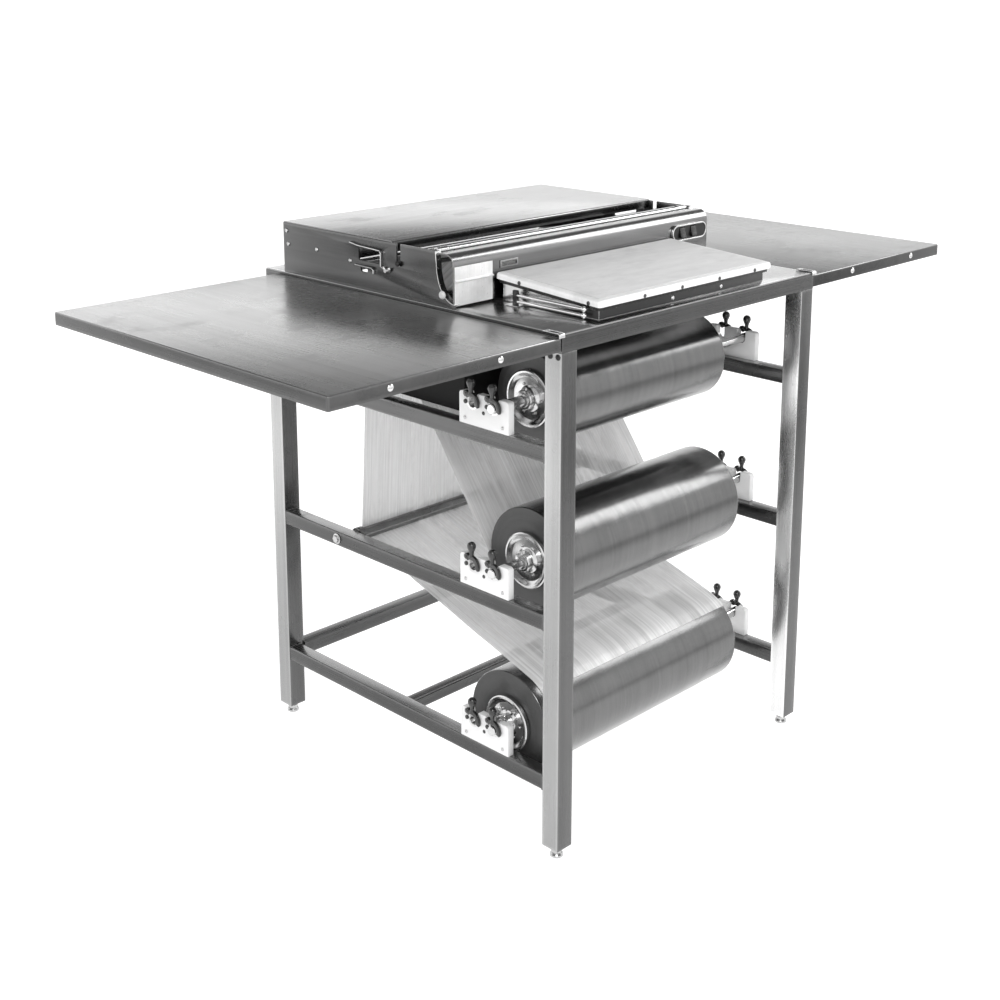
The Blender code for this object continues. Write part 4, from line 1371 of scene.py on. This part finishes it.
# ---- the head --------------------------------------------------------------------------------------
@dataclass
class Head:
    """Cheeks, platform, riser, cut-off rod, guide rollers, switches and inlet; its pairs are (y, z)."""

    sheet: float = 0.002
    strap: float = 0.0016
    axle_slot: float = 0.0045
    shoulder: float = -0.084
    nose_drop: float = 0.058
    window: tuple[Flat, Flat] = ((0.043, 0.866), (0.095, 0.886))
    oblong: tuple[Flat, Flat] = ((0.074, 0.8485), (0.090, 0.8550))
    hole: Flat = (-0.113, 0.834)
    screws: tuple[Flat, ...] = ((0.281, 0.891), (0.277, 0.869), (0.201, 0.869), (0.116, 0.862))
    wing_nut: Flat = (0.025, 0.859)
    shoe: Flat = (-0.1000, 0.8390)
    guard: tuple[Flat, Flat] = ((-0.3065, 0.8235), (-0.2270, 0.8830))
    rod_slot: tuple[Flat, Flat] = ((-0.208, 0.8715), (-0.174, 0.8785))

    def build(self) -> None:
        """Builds the head."""
        for side, sign in SIDES.items():
            self.cheek_plate(side, sign)
            self.cheek_fittings(side, sign)
        self.platform()
        self.riser()
        self.rod()
        self.rollers()
        self.switches()
        self.inlet()

    def nose(self, count: int) -> list[Flat]:
        """The concave front edge of a cheek, from its shoulder down."""
        low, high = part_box("head_side_left")
        top = high.z - 0.020
        reach = low.y - self.shoulder
        return [(self.shoulder + reach * (1 - math.cos(a)), top - self.nose_drop * math.sin(a))
                for a in [0.0] + quarter_steps(count)]

    def cheek_plate(self, side: str, sign: int) -> None:
        """A cheek with its concave nose, open axle slot, window and bright folded front edge."""
        node = f"head_side_{side}"
        low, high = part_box(node)
        _, y, z = joint_place("guide_roller_front_spin")
        outline = [(high.y, low.z), (high.y, high.z), (y + self.axle_slot, high.z)]
        outline += arc((y, z), self.axle_slot, 0, -180, 10)
        outline += [(y - self.axle_slot, high.z), (self.shoulder, high.z)] + self.nose(14) + [(low.y, low.z)]
        plate = Bench.plate(node + "_plate", outline, low.x, high.x)
        tools = [Bench.block("window_tool", (low.x - 0.01, *first), (high.x + 0.01, *last), 0.003, 3)
                 for first, last in (self.window, self.oblong)]
        tools.append(Bench.rod("hole_tool", ((low.x + high.x) / 2, *self.hole), 0.0028, 0.02, Axis.X, 20))
        Bench.cut(plate, tools)
        Bench.bevel(plate, 0.0006, 2)
        Bench.smooth(plate)
        # The cheeks' steel is set much darker than the other steel: painted shade.
        steel = SatinSteel(0.10, 0.24, Axis.Y, 0.5, 0.8)
        hand_over(plate, "root", steel, [node], steel.make(node + "_steel", low, high))

        face = abs(outer_face(node, sign))
        ends = sorted((sign * (face + 0.0006), sign * (face - 0.0105)))
        path = [(self.shoulder + 0.0005, high.z - 0.0005)] + [(a - 0.0012, b) for a, b in self.nose(14)]
        edge = Bench.ribbon(f"nose_edge_{side}", path, *ends, 0.0016, 1.0)
        hand_over(Bench.smooth(Bench.bevel(edge, 0.0005, 2)), "root", BrightSteel(0.72, 0.18, Axis.X))
        ends = sorted((sign * 0.2985, sign * 0.3075))
        path = [(a + 0.012, b - 0.001) for a, b in self.nose(12)]
        lining = Bench.ribbon(f"nose_lining_{side}", path, *ends, 0.0012)
        hand_over(Bench.smooth(Bench.bevel(lining, 0.0004, 1)), "root", SatinSteel(0.34, 0.3, Axis.X))

    def cheek_fittings(self, side: str, sign: int) -> None:
        """Screws, the bent bracket round the window, the wing nut and the foot of a cheek."""
        face = outer_face(f"head_side_{side}", sign) + sign * SKIN
        for index, place in enumerate(self.screws):
            screw = Bench.screw_head(f"cheek_screw_{side}_{index}", (face, *place), 0.0036, (sign, 0, 0))
            hand_over(screw, "root", BrightSteel(0.62, 0.2))
        ends = sorted((face, face + sign * 0.0042))
        bend = [(0.113, 0.8935), (0.094, 0.8905), (0.0405, 0.8885), (0.0380, 0.8850), (0.0380, 0.8640),
                (0.0300, 0.8610)]
        strap = Bench.ribbon(f"cheek_strap_{side}", bend, *ends, self.strap)
        hand_over(Bench.smooth(Bench.bevel(strap, 0.0004, 1)), "root", BrightSteel(0.75, 0.18, Axis.Y))
        bend = [(0.1010, 0.8590), (0.0600, 0.8580), (0.0560, 0.8550), (0.0560, 0.8490)]
        ledge = Bench.ribbon(f"cheek_ledge_{side}", bend, *ends, self.strap)
        hand_over(Bench.smooth(Bench.bevel(ledge, 0.0004, 1)), "root", BrightSteel(0.7, 0.2, Axis.Y))
        y, z = self.wing_nut
        x = face + sign * 0.0025
        nut = [(0, 0.0060), (0.0032, 0.0060), (0.0050, 0.0010), (0.0054, 0.0), (0, 0.0)]
        wings = [Bench.lathe("nut", [(r, sign * out) for r, out in nut], (face, y, z), Axis.X, 24)]
        for way in (-1, 1):
            middle = y + way * 0.0062
            wing = Bench.block("wing", (x - 0.0010, middle - 0.0036, z - 0.0024),
                               (x + 0.0010, middle + 0.0036, z + 0.0024), 0.0008, 2)
            Bench.turn(wing, math.radians(24) * way, Axis.X, (x, y, z))
            wings.append(Bench.smooth(wing))
        hand_over(Bench.join(f"wing_nut_{side}", wings), "root", BrightSteel(0.66, 0.2))
        shoe = [(0, 0.0046), (0.0044, 0.0042), (0.0062, 0.0018), (0.0062, 0.0), (0, 0.0)]
        shoe = Bench.lathe(f"cheek_shoe_{side}", [(r, sign * out) for r, out in shoe], (face, *self.shoe),
                           Axis.X, 24)
        hand_over(shoe, "root", Plastic(0.7, 0.4, "cradle_plastic"))

    def platform(self) -> None:
        """The work surface: one sheet folded down at the front and the back."""
        low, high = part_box("head_platform")
        t = self.sheet
        r = 0.0026
        top = high.z - t / 2
        front, back = low.y + t / 2, high.y - t / 2
        path = [(front, top - 0.0150)]
        path += arc((front + r, top - r), r, 180, 90, 4)
        path += arc((back - r, top - r), r, 90, 0, 4)
        path += [(back, low.z + 0.001)]
        cover = Bench.ribbon("head_platform_cover", path, low.x, high.x, t)
        Bench.bevel(cover, 0.0006, 2)
        Bench.smooth(cover)
        tools = []
        for sign in SIDES.values():
            x0, x1 = sorted((sign * (high.x - 0.0035), sign * (high.x + 0.001)))
            tools.append(Bench.block("end_tool", (x0, low.y - 0.01, low.z - 0.01),
                                     (x1, high.y + 0.01, high.z - t - 0.0004)))
        Bench.cut(cover, tools)
        # The platform's X and Y faces are painted darker than its top: painted shade.
        steel = SatinSteel(0.48, 0.24, Axis.X, 0.3, 0.4, 0.4, 0.2)
        # The box whose top edges are painted bright, as rubbed wear and a painted edge highlight.
        bright_edge_low = (low.x, low.y, high.z - 0.0032)
        hand_over(cover, "root", steel, ["head_platform"], steel.make("head_platform_steel", bright_edge_low, high))
        for index, x in enumerate((-0.27, -0.09, 0.09, 0.27)):
            place = (x, high.y + SKIN, low.z + 0.016)
            screw = Bench.screw_head(f"platform_screw_{index}", place, 0.0036, (0, 1, 0))
            hand_over(screw, "root", BrightSteel(0.6, 0.2, Axis.Y))
        vents = []
        for index in range(9):
            x = -0.064 + 0.016 * index
            louvre = Bench.block("louvre", (x - 0.0055, high.y + 0.0002, low.z + 0.030),
                                 (x + 0.0055, high.y + 0.0022, low.z + 0.056), 0.0009, 2)
            vents.append(Bench.smooth(louvre))
        hand_over(Bench.join("platform_louvres", vents), "root", SatinSteel(0.30, 0.3, Axis.Z))

    def riser(self) -> None:
        """The folded riser with its channel for the cut-off rod, and the bright guard at its left."""
        low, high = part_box("head_front_panel")
        t = self.sheet
        rod_y = middle_of("cutoff_rod").y
        face = low.y + t / 2
        crest = high.z - t / 2
        shoulder = 0.016
        channel = crest - 0.0085
        path = [(face + 0.019, low.z + t / 2)]
        path += arc((face + 0.003, low.z + t / 2 + 0.003), 0.003, 270, 180, 3)
        path += arc((face + shoulder, crest - shoulder), shoulder, 180, 90, 10)
        path += arc((rod_y - 0.0170, crest - 0.002), 0.002, 90, 30, 3)
        path += arc((rod_y, channel + 0.0095), 0.0115, 214, 326, 10)
        path += arc((rod_y + 0.0170, crest - 0.002), 0.002, 150, 90, 3)
        path += arc((rod_y + 0.0208, crest - 0.002), 0.002, 90, 0, 3)
        path += [(rod_y + 0.0228, crest - 0.0205)]
        panel = Bench.ribbon("riser_panel", path, low.x, high.x, t)
        (x0, z0), (x1, z1) = self.rod_slot
        slot = Bench.block("slot_tool", (x0, low.y - 0.01, z0), (x1, low.y + 0.01, z1), 0.0016, 3)
        Bench.bevel(Bench.cut(panel, [slot]), 0.0004, 1)
        Bench.smooth(panel)
        # The riser's faces towards Y are painted darker: painted shade.
        hand_over(panel, "root", SatinSteel(0.30, 0.20, Axis.X, 0.45, 0.5, 1.0, 0.75), ["head_front_panel"])

        front = low.y - SKIN
        (left, foot), (right, crest) = self.guard
        guard = Bench.plate("riser_guard", [(left, foot), (right, foot), (right, crest), (left, crest)],
                            front - 0.0010, front, Axis.Y, 0.0004, 1)
        path = [(front - 0.0014, 0.8632), (front - 0.0044, 0.8612), (front - 0.0014, 0.8592)]
        fold = Bench.ribbon("riser_guard_fold", path, left + 0.0005, right - 0.0005, 0.0008)
        hand_over(Bench.join("riser_guard", [guard, fold]), "root", BrightSteel(0.95, 0.30, Axis.X, 0.5))
        bezel = Bench.block("riser_slot_trim", (x0 - 0.0025, front - 0.0012, z0 - 0.0025),
                            (x1 + 0.0025, front, z1 + 0.0025), 0.0005)
        Bench.cut(bezel, [Bench.block("slot_tool", (x0 + 0.0005, front - 0.01, z0 + 0.0003),
                                      (x1 - 0.0005, front + 0.01, z1 - 0.0003), 0.0016, 3)])
        hand_over(Bench.smooth(bezel), "root", SatinSteel(0.34, 0.26))

    def rod(self) -> None:
        """The cut-off rod with insulating ferrules at its ends."""
        node = "cutoff_rod"
        _, y, z = middle_of(node)
        radius, end = radius_of(node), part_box(node)[1].x
        half = [(0, end), (radius * 0.55, end), (radius * 0.6, end - 0.001), (radius * 0.6, end - 0.008),
                (radius, end - 0.009), (radius, end - 0.030), (radius * 0.82, end - 0.031)]
        bar = Bench.lathe(node + "_bar", both_ends(half), (0, y, z), Axis.X, 40)
        hand_over(bar, "root", BrightSteel(0.50, 0.20), [node])

    def rollers(self) -> None:
        """The two guide rollers with grooved end caps."""
        stub = 0.0040
        for node, inset in (("guide_roller_front", 0.016), ("guide_roller_rear", 0.008)):
            _, y, z = joint_place(node + "_spin")
            radius, end = radius_of(node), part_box(node)[1].x
            body = end - inset
            half = [(0, end), (stub - 0.0006, end), (stub, end - 0.0008), (stub, body + 0.0008),
                    (radius - 0.0028, body + 0.0004), (radius - 0.0006, body - 0.0002),
                    (radius, body - 0.0012), (radius, body - 0.0100), (radius - 0.0008, body - 0.0106),
                    (radius - 0.0008, body - 0.0120), (radius, body - 0.0126)]
            roller = Bench.lathe(node + "_turned", both_ends(half), (0, y, z), Axis.X, 48)
            # The rollers' steel is set almost black: painted shade under the platform.
            hand_over(roller, node, BrightSteel(0.05, 0.34), [node])

    def switches(self) -> None:
        """The oblong switch plate with its bright bezel and the two rockers."""
        low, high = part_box("switch_plate")
        pivots = {name: joint_place(f"rocker_{name}_tilt") for name in ("plate", "rod")}
        outline = self.switch_outline
        plate = Bench.plate("switch_plate_oblong", outline(-0.0022), low.y + 0.0008, high.y, Axis.Y)
        rim = Bench.plate("switch_plate_bezel", outline(0.0), low.y - 0.0002, high.y, Axis.Y)
        Bench.cut(rim, [Bench.plate("bezel_tool", outline(-0.0024), low.y - 0.01, high.y + 0.01, Axis.Y)])
        Bench.bevel(rim, 0.0006, 2)
        hand_over(Bench.smooth(rim), "root", BrightSteel(0.8, 0.16, Axis.Z))
        tools = [Bench.block("window_tool", (x - 0.0075, low.y - 0.01, z - 0.0095),
                             (x + 0.0075, high.y + 0.01, z + 0.0095)) for x, _, z in pivots.values()]
        Bench.cut(plate, tools)
        Bench.bevel(plate, 0.0003, 1)
        hand_over(plate, "root", Enamel(), ["switch_plate"])
        for name, pivot in pivots.items():
            self.rocker(name, pivot)

    @staticmethod
    def switch_outline(grow: float) -> list[Flat]:
        """The switch plate's oblong outline in (x, z), grown by a margin."""
        low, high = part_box("switch_plate")
        middle, half = (low.z + high.z) / 2, (high.z - low.z) / 2
        right = arc((high.x - half, middle), half + grow, 90, -90, 16)
        return arc((low.x + half, middle), half + grow, 270, 90, 16) + right

    @staticmethod
    def rocker(name: str, pivot: Point) -> None:
        """A rocker with a hollowed upper half and three grip ribs on its lower half."""
        x, y, z = pivot
        half_w, half_h = 0.0067, 0.0084
        outline = [(y + 0.0012, z + half_h), (y - 0.0010, z + half_h), (y - 0.0017, z + half_h * 0.5),
                   (y - 0.0030, z), (y - 0.0044, z - half_h * 0.5), (y - 0.0050, z - half_h),
                   (y + 0.0012, z - half_h)]
        body = Bench.plate(f"rocker_{name}_cap", outline, x - half_w, x + half_w, Axis.X, 0.0006, 3)
        ribs = [Bench.smooth(body)]
        for index in range(3):
            at = z - half_h * (0.35 + 0.2 * index)
            out = y - 0.0040 - 0.0003 * index
            ribs.append(Bench.block("rib", (x - half_w * 0.7, out - 0.0006, at - 0.0003),
                                    (x + half_w * 0.7, out + 0.0006, at + 0.0003), 0.0002, 1))
        hand_over(Bench.join(f"rocker_{name}_cap", ribs), f"rocker_{name}", SWITCH_BLACK, [f"rocker_{name}"])

    @staticmethod
    def inlet() -> None:
        """The mains inlet: a shrouded socket with three blades and two screws."""
        low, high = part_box("power_inlet")
        x, _, z = middle_of("power_inlet")
        shell = Bench.block("power_inlet_shell", low, high, 0.0022, 3)
        Bench.cut(shell, [Bench.block("well_tool", (low.x + 0.0030, low.y + 0.0045, low.z + 0.0028),
                                      (high.x - 0.0030, high.y + 0.01, high.z - 0.0028), 0.0018, 3)])
        hand_over(Bench.smooth(shell), "root", SWITCH_BLACK, ["power_inlet"])
        blades = [Bench.block("blade", (x + dx - 0.0010, low.y + 0.004, z + dz - 0.0022),
                              (x + dx + 0.0010, high.y - 0.0015, z + dz + 0.0022), 0.0004, 1)
                  for dx, dz in ((-0.0060, -0.0015), (0.0, 0.0025), (0.0060, -0.0015))]
        hand_over(Bench.join("power_inlet_blades", blades), "root", BrightSteel(0.6, 0.2, Axis.Y))


# ---- the hot plate ---------------------------------------------------------------------------------
@dataclass
class HotPlate:
    """The sealing plate, its base and the bright bracket at its left."""

    centre: Vector
    tilt: float
    rim: float = 0.016
    edge: float = 0.0046
    lip: float = 0.0100
    stud: float = 0.0032
    guard_r: float = 0.0026

    @classmethod
    def on_mount(cls) -> "HotPlate":
        """A hot plate whose place and slope come from the frame's mount on its top."""
        mount = next(m for m in frame["record"]["mounts"] if m["name"] == "hot_plate_top")
        return cls(Vector(mount["pos_m"]), math.atan2(-mount["axis"][1], mount["axis"][2]))

    def build(self) -> None:
        """Builds the plate and what carries it."""
        self.plate()
        self.base()
        self.bracket()

    def tilted(self, obj: bpy.types.Object) -> bpy.types.Object:
        """Turns a piece that was made level into the plate's slope."""
        return Bench.turn(obj, self.tilt, Axis.X, self.centre)

    def plate(self) -> None:
        """The plate under its release sheet, with the sheet's studs along its front and left edges."""
        x, y, z = self.centre
        low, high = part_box("hot_plate")
        w = (high.x - low.x) / 2
        d = ((high.y - low.y) - self.rim * math.sin(self.tilt)) / 2 / math.cos(self.tilt)
        skirt = Bench.block("hot_plate_skirt", (x - w + 0.004, y - d + 0.004, z - self.rim),
                            (x + w - 0.004, y + d - 0.003, z - self.lip + 0.001))
        Bench.open_faces(skirt, lambda f: abs(f.normal.z) > 0.9)
        Bench.bevel(skirt, 0.0030, 3)
        self.tilted(Bench.wall(skirt, 0.0015))
        hand_over(Bench.smooth(skirt), "root", Enamel(0.010, 0.26))
        pan = Bench.block("hot_plate_pan", (x - w, y - d, z - self.lip), (x + w, y + d, z))
        Bench.open_faces(pan, lambda f: f.normal.z < -0.9)
        Bench.bevel(pan, self.edge, 5)
        self.tilted(Bench.wall(pan, 0.003))
        hand_over(Bench.smooth(pan), "root", ReleaseSheet(0.90), ["hot_plate"])
        sheet = Bench.block("release_sheet_top", (x - w + 0.010, y - d + 0.010, z + 0.0002),
                            (x + w - 0.010, y + d - 0.006, z + 0.0008))
        Bench.bevel(sheet, 0.0003, 1)
        self.tilted(sheet)
        hand_over(sheet, "root", ReleaseSheet(0.74))
        studs = [(x + w * share, y - d - 0.0004, (0, -1, 0)) for share in (-0.52, -0.10, 0.34, 0.78)]
        studs += [(x - w - 0.0004, y + d * share, (-1, 0, 0)) for share in (-0.80, 0.52)]
        for index, (sx, sy, out) in enumerate(studs):
            stud = Bench.screw_head(f"plate_stud_{index}", (sx, sy, z - 0.0070), self.stud, out)
            self.tilted(stud)
            hand_over(stud, "root", BrightSteel(0.12, 0.3, Axis.Y))

    def base(self) -> None:
        """The enamelled base under the plate, with two screws in its front."""
        low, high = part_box("hot_plate_base")
        front_top = self.under(low.y, 0.0168)
        outline = [(low.y, low.z), (high.y, low.z), (high.y, high.z), (low.y, front_top)]
        wedge = Bench.plate("hot_plate_wedge", outline, low.x, high.x)
        Bench.open_faces(wedge, lambda f: f.normal.z < -0.9)
        Bench.bevel(wedge, 0.0012, 2)
        enamel = Enamel()
        hand_over(Bench.smooth(Bench.wall(wedge, 0.002)), "root", enamel, ["hot_plate_base"],
                  enamel.make("hot_plate_base_enamel", low, (high.x, high.y, front_top)))
        for index, share in enumerate((0.42, 0.72)):
            place = (low.x + (high.x - low.x) * share, low.y - SKIN, low.z + 0.0075)
            screw = Bench.screw_head(f"base_screw_{index}", place, 0.0034, (0, -1, 0))
            hand_over(screw, "root", BrightSteel(0.7, 0.2, Axis.Y))

    def under(self, y: float, below: float) -> float:
        """The height of the plate's slope at y, less a drop."""
        return self.centre.z + (y - self.centre.y) * math.tan(self.tilt) - below

    def bracket(self) -> None:
        """The bright side plate with its two guard bars, their posts and ball ends."""
        low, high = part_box("hot_plate_base")
        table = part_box("top_pan")[1].z
        x = low.x - 0.0004
        nose, drop = low.y + 0.030, 0.0175
        outline = [(high.y, table + 0.0006), (high.y, self.under(high.y, drop)),
                   (nose, self.under(nose, drop)), (nose, table + 0.010), (high.y - 0.040, table + 0.0006)]
        side = Bench.plate("plate_side_sheet", outline, x - 0.0012, x, Axis.X, 0.0004, 1)
        hand_over(side, "root", BrightSteel(0.82, 0.2, Axis.X))
        bar_x = x - 0.0120
        front, back = low.y + 0.020, high.y - 0.030
        for index, height in enumerate((0.0065, 0.0160)):
            z = table + height
            centre = (bar_x, (front + back) / 2, z)
            bar = Bench.rod("guard_bar", centre, self.guard_r, back - front, Axis.Y, 24, 0.0006)
            knob = Bench.ball("guard_knob", (bar_x, front - 0.002, z), self.guard_r + 0.002, 20)
            bar = Bench.smooth(Bench.join(f"guard_bar_{index}", [bar, knob]), 50)
            hand_over(bar, "root", BrightSteel(0.84, 0.14, Axis.Y))
        post = Bench.block("guard_post", (bar_x - 0.0028, back - 0.012, table + 0.0004),
                           (bar_x + 0.0028, back - 0.003, table + 0.0235), 0.0008, 2)
        hand_over(Bench.smooth(post), "root", Enamel(0.01, 0.2))
        foot = Bench.block("guard_foot", (bar_x - 0.010, back - 0.020, table + 0.0003),
                           (bar_x + 0.008, back + 0.006, table + 0.0016), 0.0005, 1)
        hand_over(foot, "root", BrightSteel(0.7, 0.2, Axis.Y))


# ---- the studio ------------------------------------------------------------------------------------
@dataclass
class Studio:
    """The pale cove, its soft lights and the camera."""

    camera_place: Point = (-1.8102, -1.7145, 1.3142)
    yaw: float = 45.10
    pitch: float = 12.37
    lens: float = 54.17
    shift: float = -0.20
    reach: float = 6.5
    sweep: float = 2.0
    wall: float = 4.5
    dim_spot: Flat = (2.1, -2.6)
    bright_spot: Flat = (-2.0, 1.9)

    def build(self) -> None:
        """Makes the stage, the lights and the camera."""
        self.cove()
        self.lights()
        self.camera()

    def cove(self) -> None:
        """A round floor that sweeps up into a low wall."""
        profile = [(0.0, 0.0), (self.reach - self.sweep, 0.0)]
        profile += arc((self.reach - self.sweep, self.sweep), self.sweep, -90, 0, 16)
        profile += [(self.reach, self.wall)]
        cove = Bench.lathe("studio_cove", profile, (0, 0, 0), Axis.Z, 96)
        Bench.smooth(cove, 60)
        recipe = Recipe("cove_paint")
        tint = recipe.ease(recipe.noise(0.6, 3.0), 0.2, 0.8)
        x, y, z = recipe.axes()
        shade = 1.0 - recipe.ease(z, 3.0, 4.4) * 0.75
        away = recipe.ease(recipe.distance(x, y, self.dim_spot), 0.6, 2.5) * 0.52 + 0.48
        close = 1.0 - recipe.ease(recipe.distance(x, y, self.bright_spot), 0.4, 2.0)
        glow = shade * away * 0.82 + close * 0.8
        paint = recipe.finish(Base_Color=recipe.shaded(recipe.greys(tint, 0.60, 0.64), shade * away),
                              Roughness=0.9, Emission_Color=recipe.greys(glow * 0.4, 0.0, 2.5),
                              Emission_Strength=1.0)
        cove.data.materials.clear()
        cove.data.materials.append(paint)

    @staticmethod
    def lamp(name: str, place: Point, aim: Point, size: Flat, power: float) -> None:
        """A soft box at a place, turned to a point."""
        data = bpy.data.lights.new(name, "AREA")
        data.shape = "RECTANGLE"
        data.size, data.size_y = size
        data.energy = power
        lamp = bpy.data.objects.new(name, data)
        lamp.location = place
        lamp.rotation_euler = (Vector(aim) - Vector(place)).to_track_quat("-Z", "Y").to_euler()
        bpy.context.scene.collection.objects.link(lamp)

    def lights(self) -> None:
        """An even sky and two soft boxes."""
        world = bpy.data.worlds.new("studio_sky")
        world.use_nodes = True
        back = world.node_tree.nodes["Background"]
        back.inputs["Color"].default_value = (1, 1, 1, 1)
        back.inputs["Strength"].default_value = 0.22
        bpy.context.scene.world = world
        aim = (0.0, 0.0, 0.6)
        self.lamp("key", (2.3, -1.1, 2.35), aim, (1.3, 1.5), 34)
        self.lamp("fill", (-1.9, -2.0, 2.6), aim, (1.6, 1.2), 44)

    def camera(self) -> None:
        """The camera, from the front left and above the table."""
        data = bpy.data.cameras.new("camera")
        data.sensor_width = 36.0
        data.lens = self.lens
        data.shift_y = self.shift
        camera = bpy.data.objects.new("camera", data)
        camera.location = self.camera_place
        camera.rotation_euler = (math.radians(90 - self.pitch), 0, -math.radians(self.yaw))
        bpy.context.scene.collection.objects.link(camera)
        bpy.context.scene.camera = camera
        bpy.context.scene.view_settings.view_transform = "Standard"


def main() -> None:
    """Builds the station around its frame."""
    logging.basicConfig(level=logging.INFO, format="%(message)s")
    Studio().build()
    TubeFrame().build()
    Table().build()
    for level in LEVELS:
        RollBay.at(level).build()
    Web("bottom", True, layer=0.0012).build()
    Web("middle", False).build()
    Head().build()
    HotPlate.on_mount().build()


if __name__ == "__main__":
    main()
